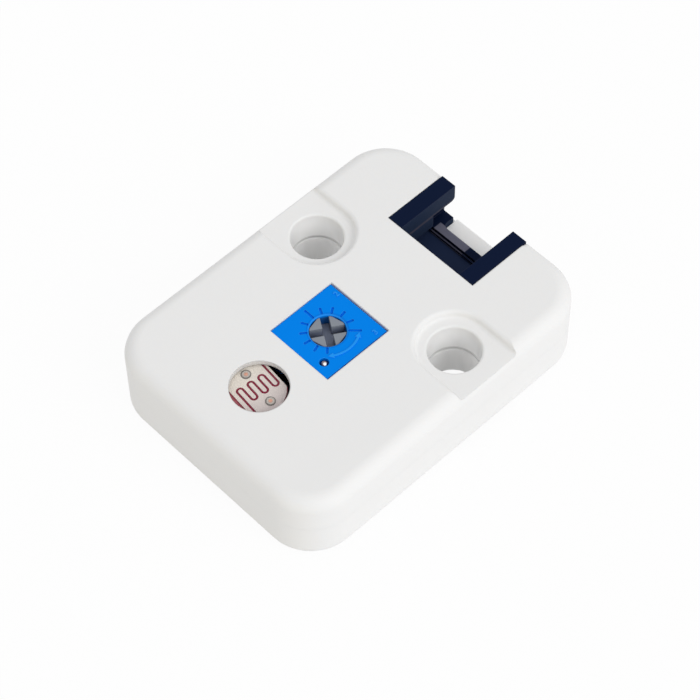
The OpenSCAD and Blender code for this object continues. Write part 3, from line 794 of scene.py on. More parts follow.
@dataclass(frozen=True)
class LightFilm:
    """Light-sensitive film, dark red and finely crystalline, that turns paler in a rim on one side."""

    name: str
    color: Rgb = (0.25, 0.014, 0.045)
    deep: Rgb = (0.19, 0.01, 0.034)
    pale_band: Rgb = (0.37, 0.09, 0.11)
    centre: Pair = (-0.32 * MM, -10.03 * MM)
    turn: float = -6.0
    rim: Pair = (-1.72 * MM, -1.95 * MM)

    def build(self) -> Material:
        """Makes the material.

        Returns:
            The material.
        """
        s = Shader(self.name)
        x, y, _ = s.split(s.place)
        grain = s.noise(0.04 * MM, 2.0)
        cloud = s.noise(0.5 * MM, 3.0)
        turn = math.radians(self.turn)
        up = (y - self.centre[1]) * math.cos(turn) - (x - self.centre[0]) * math.sin(turn)
        rim = (up + 0.1 * MM * (cloud - 0.5)).step(*self.rim)
        film = s.mix(0.5 * grain + 0.5 * cloud, self.color, self.deep)
        return s.close(
            Base_Color=s.mix(rim, film, self.pale_band),
            Roughness=0.4 + 0.15 * grain,
            Specular_IOR_Level=0.1,
            Normal=s.bump(grain, 0.001 * MM),
        )


@dataclass(frozen=True)
class CellMetal:
    """Metal laid on the film as a vapour: pale, dull and finely grained, with a rosy tinge to one side."""

    name: str
    color: Rgb = (0.9, 0.835, 0.74)
    tinge: Rgb = (0.66, 0.575, 0.57)
    speck: Rgb = (0.46, 0.42, 0.41)
    tinged_x: Pair = (-2.0 * MM, 2.0 * MM)

    def build(self) -> Material:
        """Makes the material.

        Returns:
            The material.
        """
        s = Shader(self.name)
        x = s.split(s.place)[0]
        grain = s.noise(0.06 * MM, 1.0)
        tinge = x.step(*self.tinged_x, smooth=False)
        color = s.mix(0.5 * grain.step(0.35, 0.75), s.mix(tinge, self.color, self.tinge), self.speck)
        return s.close(
            Base_Color=color,
            Metallic=0.05,
            Roughness=0.5 + 0.2 * grain,
            Specular_IOR_Level=0.3,
            Normal=s.bump(grain, 0.0015 * MM),
        )


@dataclass(frozen=True)
class ClearLacquer:
    """Almost invisible lacquer with a faint gloss."""

    name: str
    color: Rgb = (0.9, 0.86, 0.82)
    cloudy: Rgb = (0.86, 0.84, 0.82)
    veil: float = 0.014

    def build(self) -> Material:
        """Makes the material.

        Returns:
            The material.
        """
        s = Shader(self.name)
        cloud = s.noise(2.5 * MM, 1.0)
        return s.close(
            Base_Color=s.mix(cloud, self.color, self.cloudy),
            Roughness=0.2 + 0.08 * cloud,
            Alpha=self.veil * (0.6 + 0.8 * cloud),
            Normal=s.bump(cloud, 0.001 * MM),
        )


@dataclass(frozen=True)
class PrintedCarbon:
    """Printed resistive layer, matt with a fine screen mesh in it."""

    name: str
    color: Rgb = (0.03, 0.022, 0.018)
    pale: Rgb = (0.07, 0.055, 0.045)
    mesh: float = 0.09 * MM

    def build(self) -> Material:
        """Makes the material.

        Returns:
            The material.
        """
        s = Shader(self.name)
        x, y, _ = s.split(s.place)
        pace = TURN / self.mesh
        screen = 0.25 * ((x * pace).wave("SINE") + (y * pace).wave("SINE")) + 0.5
        cloud = s.noise(0.4 * MM, 3.0)
        return s.close(
            Base_Color=s.mix(0.4 * screen + 0.4 * cloud, self.color, self.pale),
            Roughness=0.55 + 0.1 * cloud,
            Normal=s.bump(screen, 0.002 * MM),
        )


@dataclass(frozen=True)
class MouldedRubber:
    """Dull rubber with a faint bloom."""

    name: str
    color: Rgb = (0.012, 0.012, 0.013)
    bloomed: Rgb = (0.04, 0.04, 0.042)

    def build(self) -> Material:
        """Makes the material.

        Returns:
            The material.
        """
        s = Shader(self.name)
        bloom = s.noise(0.6 * MM, 4.0)
        grain = s.noise(0.06 * MM, 2.0)
        return s.close(
            Base_Color=s.mix(bloom.step(0.5, 0.8), self.color, self.bloomed),
            Roughness=0.72 + 0.15 * (grain - 0.5),
            Normal=s.bump(grain, 0.002 * MM),
        )


@dataclass(frozen=True)
class RivetedLead:
    """Tinned lead whose copper core shows in the middle of its riveted head, with painted shade round its
    edge.
    """

    name: str
    centre: Pair
    core: Pair = (0.2 * MM, 0.12 * MM)
    rim: Pair = (0.288 * MM, 0.38 * MM)
    metal: Rgb = (0.62, 0.56, 0.51)
    tarnish: Rgb = (0.4, 0.37, 0.34)
    # Painted shade on the head's sloping outer edge.
    dark: Rgb = (0.15, 0.14, 0.13)
    copper: Rgb = (0.7, 0.36, 0.26)

    def build(self) -> Material:
        """Makes the material.

        Returns:
            The material.
        """
        s = Shader(self.name)
        x, y, _ = s.split(s.place)
        away = s.away(x - self.centre[0], y - self.centre[1])
        blotch = s.noise(0.1 * MM, 3.0)
        wander = away + 0.12 * MM * (blotch - 0.5)
        core = wander.step(*self.core)
        # Painted shade beyond the rim radius, on the head's outer edge.
        plate = s.mix(wander.step(*self.rim), s.mix(blotch, self.metal, self.tarnish), self.dark)
        return s.close(
            Base_Color=s.mix(core, plate, self.copper),
            Metallic=0.2 + 0.1 * core,
            Roughness=0.42 + 0.2 * blotch,
            Normal=s.bump(blotch, 0.005 * MM),
        )


Finish = (
    MouldedPlastic
    | Plating
    | SolderedMetal
    | BoardLaminate
    | FiredCeramic
    | LightFilm
    | CellMetal
    | ClearLacquer
    | PrintedCarbon
    | MouldedRubber
    | RivetedLead
)

FINISHES: dict[Slot, Finish] = {
    Slot.WHITE: HousingPlastic(
        "White_plastic",
        (0.87, 0.868, 0.862),
        (0.84, 0.838, 0.834),
        roughness=0.55,
        gloss=0.3,
        edge=0.18 * MM,
        glow=0.08,
    ),
    Slot.DARK: SocketPlastic(
        "Dark_plastic",
        (0.0018, 0.0062, 0.026),
        (0.003, 0.009, 0.034),
        roughness=0.6,
        gloss=0.05,
        edge=0.06 * MM,
        # Painted highlight along the socket's edges.
        edge_highlight=(0.05, 0.05, 0.08),
    ),
    Slot.BLUE: AdjusterPlastic(
        "Blue_plastic",
        (0.0, 0.24, 0.88),
        (0.0, 0.22, 0.84),
        roughness=0.55,
        gloss=0.03,
        edge=0.06 * MM,
        # Painted highlight along the edges, as on the rim round the opening.
        edge_highlight=(0.07, 0.43, 1.0),
        # Painted shade in the creases and engraved marks.
        crease_shade=(0.0, 0.09, 0.5),
    ),
    Slot.GREY: RotorPlastic(
        "Grey_plastic",
        (0.275, 0.3, 0.337),
        (0.205, 0.226, 0.262),
        roughness=0.5,
        gloss=0.2,
        edge=0.05 * MM,
        # Painted shade in the creases.
        crease_shade=(0.12, 0.125, 0.15),
    ),
    Slot.EPOXY: MouldedPlastic(
        "Chip_epoxy", (0.02, 0.02, 0.021), (0.035, 0.035, 0.036), roughness=0.62, relief=0.003 * MM
    ),
    Slot.BOARD: BoardLaminate("Board_mask"),
    Slot.CERAMIC: FiredCeramic("White_ceramic", (0.78, 0.75, 0.69), (0.6, 0.56, 0.5)),
    Slot.TAN: FiredCeramic("Tan_ceramic", (0.42, 0.29, 0.17), (0.3, 0.2, 0.12)),
    Slot.FILM: LightFilm("Light_film"),
    Slot.CARBON: PrintedCarbon("Carbon_print"),
    Slot.CELL_METAL: CellMetal("Cell_metal"),
    Slot.LACQUER: ClearLacquer("Clear_lacquer"),
    Slot.TIN: Plating("Tin_plating", (0.72, 0.72, 0.7), (0.5, 0.5, 0.48)),
    Slot.ZINC: Plating("Zinc_plating", (0.6, 0.61, 0.63), (0.42, 0.42, 0.43), roughness=0.34),
    Slot.SOLDER: SolderedMetal("Bright_solder"),
    Slot.GOLD: Plating("Gold_plating", (0.83, 0.6, 0.25), (0.6, 0.42, 0.2), roughness=0.22, brushed=Axis.Y),
    Slot.RUBBER: MouldedRubber("Black_rubber"),
}


class FinishBook:
    """Builds each finish once and hands out its material."""

    def __init__(self) -> None:
        """Starts with no material built."""
        self.built: dict[Finish, Material] = {}

    def material(self, finish: Finish) -> Material:
        """Material of a finish, built on first use.

        Args:
            finish: The finish.

        Returns:
            Its material.
        """
        if finish not in self.built:
            self.built[finish] = finish.build()
        return self.built[finish]

    def of(self, slot: Slot) -> Material:
        """Material of a record slot."""
        return self.material(FINISHES[slot])


# Geometry Nodes


class GeometryTree(NodeBook):
    """Geometry Nodes group with named inputs that ends in realised geometry with one material."""

    def __init__(self, name: str, inputs: Mapping[str, object]) -> None:
        """Makes the group and its inputs.

        Args:
            name: Name of the group.
            inputs: Values of its inputs by name: whole numbers, lengths, angles or vectors.
        """
        super().__init__(bpy.data.node_groups.new(name, "GeometryNodeTree"))
        face = self.tree.interface
        face.new_socket("Geometry", in_out="OUTPUT", socket_type="NodeSocketGeometry")
        self.inputs = dict(inputs)
        for key, value in inputs.items():
            face.new_socket(key, in_out="INPUT", socket_type=self.kind_of(value))
        face.new_socket("Finish", in_out="INPUT", socket_type="NodeSocketMaterial")
        self.entry = self.tree.nodes.new("NodeGroupInput")

    @staticmethod
    def kind_of(value: object) -> str:
        """Socket type for a value.

        Args:
            value: A whole number, a length or angle, or a vector.

        Returns:
            Name of the type.
        """
        if isinstance(value, int):
            return "NodeSocketInt"
        if isinstance(value, float):
            return "NodeSocketFloat"
        return "NodeSocketVector"

    def given(self, name: str) -> Value:
        """Value of a named input."""
        return Value(self, self.entry.outputs[name])

    def line(self, start: object, end: object) -> Link:
        """Straight curve between two points."""
        return self.add("GeometryNodeCurvePrimitiveLine", sockets={"Start": start, "End": end}).outputs[0]

    def rectangle(self, width: Value, height: Value) -> Link:
        """Rectangular curve."""
        sockets = {"Width": width, "Height": height}
        return self.add("GeometryNodeCurvePrimitiveQuadrilateral", sockets=sockets).outputs[0]

    def sweep(self, path: Link, profile: Link) -> Link:
        """Closed solid of a profile that follows a path."""
        sockets = {"Curve": path, "Profile Curve": profile, "Fill Caps": True}
        return self.add("GeometryNodeCurveToMesh", sockets=sockets).outputs[0]

    def together(self, parts: Iterable[Link]) -> Link:
        """Joins several geometries.

        Args:
            parts: The geometries.

        Returns:
            All of them as one.
        """
        joined = self.add("GeometryNodeJoinGeometry")
        for part in parts:
            self.tree.links.new(part, joined.inputs[0])
        return joined.outputs[0]

    def grow(self, name: str, geometry: Link, finish: Material) -> Piece:
        """Closes the group and turns its result into a plain mesh.

        Args:
            name: Name of the piece.
            geometry: What the group has built.
            finish: Material that all of it gets.

        Returns:
            The piece, at the origin and with no modifier.
        """
        real = self.add("GeometryNodeRealizeInstances", sockets={0: geometry})
        sockets = {"Geometry": real.outputs[0], "Material": self.entry.outputs["Finish"]}
        dressed = self.add("GeometryNodeSetMaterial", sockets=sockets)
        leave = self.tree.nodes.new("NodeGroupOutput")
        self.tree.links.new(dressed.outputs[0], leave.inputs[0])
        piece = bpy.data.objects.new(name, bpy.data.meshes.new(name))
        bpy.context.scene.collection.objects.link(piece)
        modifier = piece.modifiers.new("Grow", "NODES")
        modifier.node_group = self.tree
        for item in self.tree.interface.items_tree:
            if item.in_out == "INPUT":
                modifier[item.identifier] = finish if item.name == "Finish" else self.inputs[item.name]
        graph = bpy.context.evaluated_depsgraph_get()
        mesh = bpy.data.meshes.new_from_object(piece.evaluated_get(graph))
        piece.modifiers.remove(modifier)
        piece.data = mesh
        return piece


def end_caps(
    name: str, first: Vector, offset: Vector, count: int, block: Vector, length: float, finish: Material
) -> Piece:
    """Soldered metal ends of a row of equal blocks.

    Args:
        name: Name of the piece.
        first: Middle of the first block, on the board.
        offset: Step from one block to the next.
        count: Number of blocks.
        block: Size of a block.
        length: How far a cap reaches over its block.
        finish: Its material.

    Returns:
        The piece.
    """
    inputs = {"First": tuple(first), "Offset": tuple(offset), "Count": count, "Block": tuple(block)}
    tree = GeometryTree("End caps", {**inputs, "Length": length, "Skin": 0.035 * MM, "Round": 0.07 * MM})
    width, depth, height = tree.split(tree.given("Block"))
    skin = tree.given("Skin")
    outline = tree.rectangle(height + skin, depth + 2 * skin)
    sockets = {"Curve": outline, "Radius": tree.given("Round")}
    rounded = tree.add("GeometryNodeFilletCurve", sockets=sockets)
    bent = tree.add("GeometryNodeResampleCurve", sockets={"Curve": rounded.outputs[0], "Count": 32})
    path = tree.line(tree.vector(0.0 - skin, 0.0, 0.0), tree.vector(tree.given("Length"), 0.0, 0.0))
    cap = tree.sweep(path, bent.outputs[0])
    pair = []
    for share, turn in ((-0.5, 0.0), (0.5, math.pi)):
        middle = tree.vector(share * width, 0.0, 0.5 * (height + skin))
        sockets = {"Geometry": cap, "Translation": middle, "Rotation": (0.0, 0.0, turn)}
        pair.append(tree.add("GeometryNodeTransform", sockets=sockets).outputs[0])
    places = {"Count": "Count", "Start Location": "First", "Offset": "Offset"}
    sockets = {socket: tree.given(key) for socket, key in places.items()}
    row = tree.add("GeometryNodeMeshLine", {"mode": "OFFSET"}, sockets)
    sockets = {"Points": row.outputs[0], "Instance": tree.together(pair)}
    spread = tree.add("GeometryNodeInstanceOnPoints", sockets=sockets)
    return tree.grow(name, spread.outputs[0], finish)


def threaded_shank(
    name: str, foot: Vector, radius: float, length: float, pitch: float, finish: Material
) -> Piece:
    """Screw shank whose surface follows a helical thread and tapers at its tip.

    Args:
        name: Name of the piece.
        foot: Point on the axis where the shank leaves the head.
        radius: Outer radius of the thread.
        length: Length of the shank, upwards.
        pitch: Rise of the thread in one turn.
        finish: Its material.

    Returns:
        The piece.
    """
    inputs = {"Foot": tuple(foot), "Radius": radius, "Length": length, "Pitch": pitch}
    tree = GeometryTree("Thread", {**inputs, "Depth": 0.6 * pitch, "Tip": pitch})
    sides, rings = 40, round(12 * length / pitch)
    sockets = {"Vertices": sides, "Side Segments": rings}
    sockets.update(Radius=tree.given("Radius"), Depth=tree.given("Length"))
    body = tree.add("GeometryNodeMeshCylinder", sockets=sockets)
    x, y, z = tree.split(tree.add("GeometryNodeInputPosition").outputs[0])
    angle = y.join("ARCTAN2", y, x) / TURN
    phase = (z / tree.given("Pitch") - angle + 100.0) % 1.0
    crest = (1.6 * (1 - abs(2 * phase - 1))).least(1.0)
    above = z + 0.5 * tree.given("Length")
    taper = ((tree.given("Length") - above) / tree.given("Tip")).least(1.0)
    start = (above / tree.given("Pitch")).least(1.0)
    shrink = 1 - (1 - crest * start) * tree.given("Depth") / tree.given("Radius")
    factor = shrink * (0.55 + 0.45 * taper)
    spot = tree.vector(x * factor, y * factor, above)
    place = tree.add("ShaderNodeVectorMath", {"operation": "ADD"}, {0: spot, 1: tree.given("Foot")})
    sockets = {"Geometry": body.outputs[0], "Position": place.outputs[0]}
    cut = tree.add("GeometryNodeSetPosition", sockets=sockets)
    return tree.grow(name, cut.outputs[0], finish)


def copper_tracks(
    name: str, starts: Sequence[Vector], ends: Sequence[Vector], width: float, finish: Material
) -> Piece:
    """Flat tracks that run from each start to its end with one bend.

    Args:
        name: Name of the piece.
        starts: Where the tracks begin, on the board's face.
        ends: Where they end.
        width: Width of a track.
        finish: Its material.

    Returns:
        The piece.
    """
    tree = GeometryTree("Tracks", {"Width": width, "Height": 0.05 * MM})
    lines = []
    for start, end in zip(starts, ends):
        slant = abs(end.x - start.x) * (1 if start.y > end.y else -1)
        knee = (start.x, end.y + slant, start.z)
        lines += [tree.line(knee, tuple(end)), tree.line(tuple(start), knee)]
    profile = tree.rectangle(tree.given("Height"), tree.given("Width"))
    return tree.grow(name, tree.sweep(tree.together(lines), profile), finish)


# Mesh helpers


def finish_piece(
    piece: Piece, body: Body, replaces: Iterable[str] = (), smooth: float = 40.0
) -> Piece:
    """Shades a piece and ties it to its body.

    Args:
        piece: The finished mesh object.
        body: Body that it rides on.
        replaces: CAD nodes that it stands for.
        smooth: Angle in degrees above which an edge stays sharp.

    Returns:
        The same piece.
    """
    work = bmesh.new()
    work.from_mesh(piece.data)
    bmesh.ops.recalc_face_normals(work, faces=work.faces)
    for face in work.faces:
        face.smooth = True
    for edge in work.edges:
        edge.smooth = len(edge.link_faces) == 2 and edge.calc_face_angle() < math.radians(smooth)
    work.to_mesh(piece.data)
    work.free()
    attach(piece, body.value)
    for node in replaces:
        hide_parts(node)
    LOG.info("%s: %d faces on %s", piece.name, len(piece.data.polygons), body.value)
    return piece


def mesh_piece(name: str, work: WorkMesh, finish: Material) -> Piece:
    """Object of a finished working mesh.

    Args:
        name: Name of the piece.
        work: Its mesh, which is freed.
        finish: Its material.

    Returns:
        The piece.
    """
    mesh = bpy.data.meshes.new(name)
    work.to_mesh(mesh)
    work.free()
    mesh.materials.append(finish)
    piece = bpy.data.objects.new(name, mesh)
    bpy.context.scene.collection.objects.link(piece)
    return piece


def turned(
    work: WorkMesh, centre: Vector, profile: Sequence[Pair], sides: int, reach: Reach | None = None
) -> None:
    """Adds a closed solid of rings round an upright axis.

    Args:
        work: Mesh that it is added to.
        centre: Point on the axis from which the profile's heights count.
        profile: Radius and height of each ring, from the axis round to the axis.
        sides: Points on each ring.
        reach: Factor on a ring's radius for an angle and the ring's number, or None for round rings.
    """
    rings = []
    for number, (radius, height) in enumerate(profile):
        ring = []
        for i in range(sides):
            angle = TURN * i / sides
            r = radius * (reach(angle, number) if reach else 1.0)
            ring.append(work.verts.new(centre + Vector((r * math.cos(angle), r * math.sin(angle), height))))
        rings.append(ring)
    for low, high in zip(rings, rings[1:]):
        for i in range(sides):
            j = (i + 1) % sides
            work.faces.new((low[i], low[j], high[j], high[i]))
    work.faces.new(rings[0])
    work.faces.new(rings[-1])


def raised_text(
    body: str, height: float, relief: float, centre: Vector, turn: float, work: WorkMesh
) -> None:
    """Adds one raised numeral or plain sign to a mesh.

    Args:
        body: The numeral.
        height: Height of the type.
        relief: How far it stands up.
        centre: Its middle, on the face that carries it.
        turn: Turn about Z in degrees.
        work: Mesh that it is added to.
    """
    curve = bpy.data.curves.new("Numeral", "FONT")
    curve.body = body
    curve.size = height / TYPE_SHARE
    curve.extrude = relief / 2
    curve.offset = 0.012 * MM
    curve.resolution_u = 3
    carrier = bpy.data.objects.new("Numeral", curve)
    bpy.context.scene.collection.objects.link(carrier)
    bpy.context.view_layer.update()
    graph = bpy.context.evaluated_depsgraph_get()
    mesh = bpy.data.meshes.new_from_object(carrier.evaluated_get(graph))
    bpy.data.objects.remove(carrier)
    low = Vector(min(v.co[k] for v in mesh.vertices) for k in range(3))
    high = Vector(max(v.co[k] for v in mesh.vertices) for k in range(3))
    mesh.transform(Matrix.Translation(Vector((0, 0, relief / 2)) - (low + high) / 2))
    mesh.transform(Matrix.Translation(centre) @ Matrix.Rotation(math.radians(turn), 4, "Z"))
    work.from_mesh(mesh)
    bpy.data.meshes.remove(mesh)


# Sub-assemblies


@dataclass
class SubAssembly:
    """A group of CAD nodes that is dressed together."""

    book: FinishBook

    def dress(self, nodes: Mapping[str, Slot]) -> None:
        """Gives CAD nodes the finish of their slot.

        Args:
            nodes: Slot of each node.
        """
        for name, slot in nodes.items():
            self.wear(name, self.book.of(slot))

    def wear(self, node: str, material: Material) -> None:
        """Gives one CAD node a material.

        Args:
            node: Name of the node.
            material: What it gets.
        """
        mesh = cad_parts[node].data
        mesh.materials.clear()
        mesh.materials.append(material)
        LOG.info("%s: dressed in %s", node, material.name)


@dataclass
class Housing(SubAssembly):
    """Two white shells and the two screws that hold them."""

    head_radius: float = 1.75 * MM
    head_top: float = 1.0 * MM
    socket_depth: float = 0.68 * MM
    thread_radius: float = 1.0 * MM
    thread_pitch: float = 0.5 * MM
    socket_flats: float = 1.3 * MM
    edge: float = 0.14 * MM
    ejector_radius: float = 0.9 * MM
    ejector_relief: float = 0.02 * MM
    ejectors: tuple[Pair, ...] = ((0.0, -11.6), (0.0, 1.2), (-8.6, 12.4), (8.6, 12.4))

    def build(self) -> None:
        """Dresses the shells and makes the screws."""
        self.dress({"top_housing": Slot.WHITE, "bottom_housing": Slot.WHITE})
        for side in ("left", "right"):
            self.screw(side)
        self.ejector_marks()

    def screw(self, side: str) -> None:
        """Makes one screw in place of its CAD node.

        Args:
            side: "left" or "right".
        """
        node = f"housing_screw_{side}"
        low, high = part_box(node)
        axis = Vector(((low.x + high.x) / 2, (low.y + high.y) / 2, 0))
        head_top = self.head_top
        steel = self.book.of(Slot.ZINC)
        foot = head_top - 0.05 * MM
        start = axis + Vector((0, 0, foot))
        shank = threaded_shank(
            f"screw_thread_{side}", start, self.thread_radius, high.z - foot, self.thread_pitch, steel
        )
        flats = self.socket_flats / 2
        e = self.edge
        profile = (
            (0.25 * flats, low.z + self.socket_depth),
            (flats, low.z + self.socket_depth),
            (flats, low.z + 0.06 * MM),
            (flats + 0.08 * MM, low.z),
            (self.head_radius - e, low.z),
            (self.head_radius - 0.3 * e, low.z + 0.3 * e),
            (self.head_radius, low.z + e),
            (self.head_radius, head_top - 0.04 * MM),
            (self.head_radius - 0.04 * MM, head_top),
            (0.9 * self.thread_radius, head_top),
        )

        def hexagon(angle: float, ring: int) -> float:
            """Stretches the socket's rings to a hexagon.

            Args:
                angle: Angle about the axis.
                ring: Number of the ring; the first three are the socket's.

            Returns:
                Factor on the radius.
            """
            if ring > 2:
                return 1.0
            sector = math.radians(60)
            return 1 / math.cos((angle % sector) - sector / 2)

        work = bmesh.new()
        turned(work, axis, profile, 72, hexagon)
        head = mesh_piece(f"screw_head_{side}", work, steel)
        finish_piece(head, Body.HOUSING, (node,))
        finish_piece(shank, Body.HOUSING)

    def ejector_marks(self) -> None:
        """Makes the faint round marks that the mould's pins leave on the underside."""
        work = bmesh.new()
        radius, relief = self.ejector_radius, self.ejector_relief
        profile = (
            (0.2 * radius, 0.1 * relief),
            (radius - 0.12 * MM, 0.0),
            (radius - 0.05 * MM, -relief),
            (radius + 0.05 * MM, -relief),
            (radius + 0.12 * MM, 0.05 * MM),
            (0.2 * radius, 0.05 * MM),
        )
        for x, y in self.ejectors:
            turned(work, Vector((x * MM, y * MM, relief)), profile, 48)
        piece = mesh_piece("ejector_marks", work, self.book.of(Slot.WHITE))
        finish_piece(piece, Body.HOUSING)


@dataclass
class Board(SubAssembly):
    """Circuit board with its solder, tracks and small parts."""

    track_width: float = 0.35 * MM
    cap_length: float = 0.3 * MM
    tail_inset: float = 0.2 * MM
    lead_inset: float = 0.4 * MM
    lead_rows: Pair = (0.2 * MM, 1.47 * MM)
    pad_inset: float = 0.1 * MM
    pad_rows: Pair = (0.4 * MM, 0.1 * MM)
    resistors: tuple[str, ...] = tuple(f"resistor_{i}" for i in range(1, 5))
    capacitors: tuple[str, ...] = ("capacitor_1", "capacitor_2")

    def build(self) -> None:
        """Dresses the nodes and makes the tracks and end caps."""
        self.dress(
            {
                "circuit_board": Slot.BOARD,
                "solder_joints": Slot.SOLDER,
                "comparator_chip": Slot.EPOXY,
                "comparator_leads": Slot.TIN,
            }
        )
        self.dress({name: Slot.EPOXY for name in self.resistors})
        self.dress({name: Slot.TAN for name in self.capacitors})
        self.tracks()
        self.caps("resistor_ends", self.resistors)
        self.caps("capacitor_ends", self.capacitors)

    def tracks(self) -> None:
        """Makes the copper tracks from the socket's contacts to the chip and the resistors."""
        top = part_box("circuit_board")[1].z
        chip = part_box("comparator_leads")[1]
        low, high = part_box("resistor_1")
        ends = [Vector((chip.x - self.lead_inset, chip.y - back, top)) for back in self.lead_rows]
        ends += [Vector((low.x + self.pad_inset, high.y - back, top)) for back in self.pad_rows]
        starts = []
        for i in range(1, 5):
            low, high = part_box(f"connector_contact_{i}")
            starts.append(Vector(((low.x + high.x) / 2, low.y + self.tail_inset, top)))
        piece = copper_tracks("board_tracks", starts, ends, self.track_width, self.book.of(Slot.BOARD))
        finish_piece(piece, Body.HOUSING)

    def caps(self, name: str, row: Sequence[str]) -> None:
        """Makes the soldered metal ends of a row of equal parts.

        Args:
            name: Name of the piece.
            row: CAD nodes of the parts, in order.
        """
        boxes = [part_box(node) for node in row]
        middles = [Vector(((low.x + high.x) / 2, (low.y + high.y) / 2, low.z)) for low, high in boxes]
        block = boxes[0][1] - boxes[0][0]
        step = middles[1] - middles[0]
        piece = end_caps(name, middles[0], step, len(row), block, self.cap_length, self.book.of(Slot.TIN))
        finish_piece(piece, Body.HOUSING)


@dataclass
class Socket(SubAssembly):
    """Dark four-way socket with its contacts and brackets."""

    def build(self) -> None:
        """Dresses the nodes."""
        self.dress({"connector_shell": Slot.DARK})
        self.dress({f"connector_anchor_{side}": Slot.TIN for side in ("left", "right")})
        self.dress({f"connector_contact_{i}": Slot.GOLD for i in range(1, 5)})


@dataclass
class Photocell(SubAssembly):
    """Photocell under its clear lacquer."""

    rivet_radius: float = 0.42 * MM
    radius: float = 2.55 * MM
    flats: float = 4.3 * MM
    coat_lift: float = 0.012 * MM
    coat_edge: float = 0.05 * MM
    film: LightFilm = field(default_factory=lambda: FINISHES[Slot.FILM])

    def build(self) -> None:
        """Dresses the nodes and makes the lacquer and the crimped rings round the two leads."""
        self.dress(
            {
                "photocell_substrate": Slot.CERAMIC,
                "photocell_film": Slot.FILM,
                "photocell_electrode_a": Slot.CELL_METAL,
                "photocell_electrode_b": Slot.CELL_METAL,
            }
        )
        self.coat()
        for end in ("a", "b"):
            self.rivet(end)

    def coat(self) -> None:
        """Makes the lacquer with a rounded edge, a hair above the metal so that both show cleanly."""
        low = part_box("photocell_electrode_a")[1].z + self.coat_lift
        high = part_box("photocell_coat")[1].z
        turn = math.radians(self.film.turn)

        def limit(angle: float, _ring: int) -> float:
            """Cuts the round outline at its two flats."""
            across = abs(math.sin(angle - turn))
            return min(1.0, self.flats / 2 / self.radius / max(across, 1e-6))

        e = self.coat_edge
        profile = (
            (0.3 * self.radius, low),
            (self.radius - 0.4 * e, low),
            (self.radius, low + 0.4 * e),
            (self.radius - 0.3 * e, high - 0.3 * e),
            (self.radius - e, high),
            (0.3 * self.radius, high),
        )
        work = bmesh.new()
        turned(work, Vector((*self.film.centre, 0)), profile, 144, limit)
        piece = mesh_piece("clear_coat", work, self.book.of(Slot.LACQUER))
        finish_piece(piece, Body.HOUSING, ("photocell_coat",))

    def rivet(self, end: str) -> None:
        """Makes the crimped head of one lead and dresses the lead.

        Args:
            end: "a" or "b".
        """
        low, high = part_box(f"photocell_lead_{end}")
        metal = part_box("photocell_electrode_a")[1].z
        axis = Vector(((low.x + high.x) / 2, (low.y + high.y) / 2, metal))
        material = self.book.material(RivetedLead(f"Riveted_lead_{end}", (axis.x, axis.y)))
        self.wear(f"photocell_lead_{end}", material)
        r = self.rivet_radius
        profile = (
            (0.02 * MM, 0.1 * MM),
            (0.1 * MM, 0.095 * MM),
            (0.16 * MM, 0.06 * MM),
            (0.2 * MM, 0.058 * MM),
            (0.26 * MM, 0.085 * MM),
            (0.33 * MM, 0.085 * MM),
            (r - 0.03 * MM, 0.055 * MM),
            (r, 0.02 * MM),
            (r, -0.005 * MM),
            (0.02 * MM, -0.005 * MM),
        )
        work = bmesh.new()
        turned(work, axis, profile, 40)
        finish_piece(mesh_piece(f"lead_rivet_{end}", work, material), Body.HOUSING)


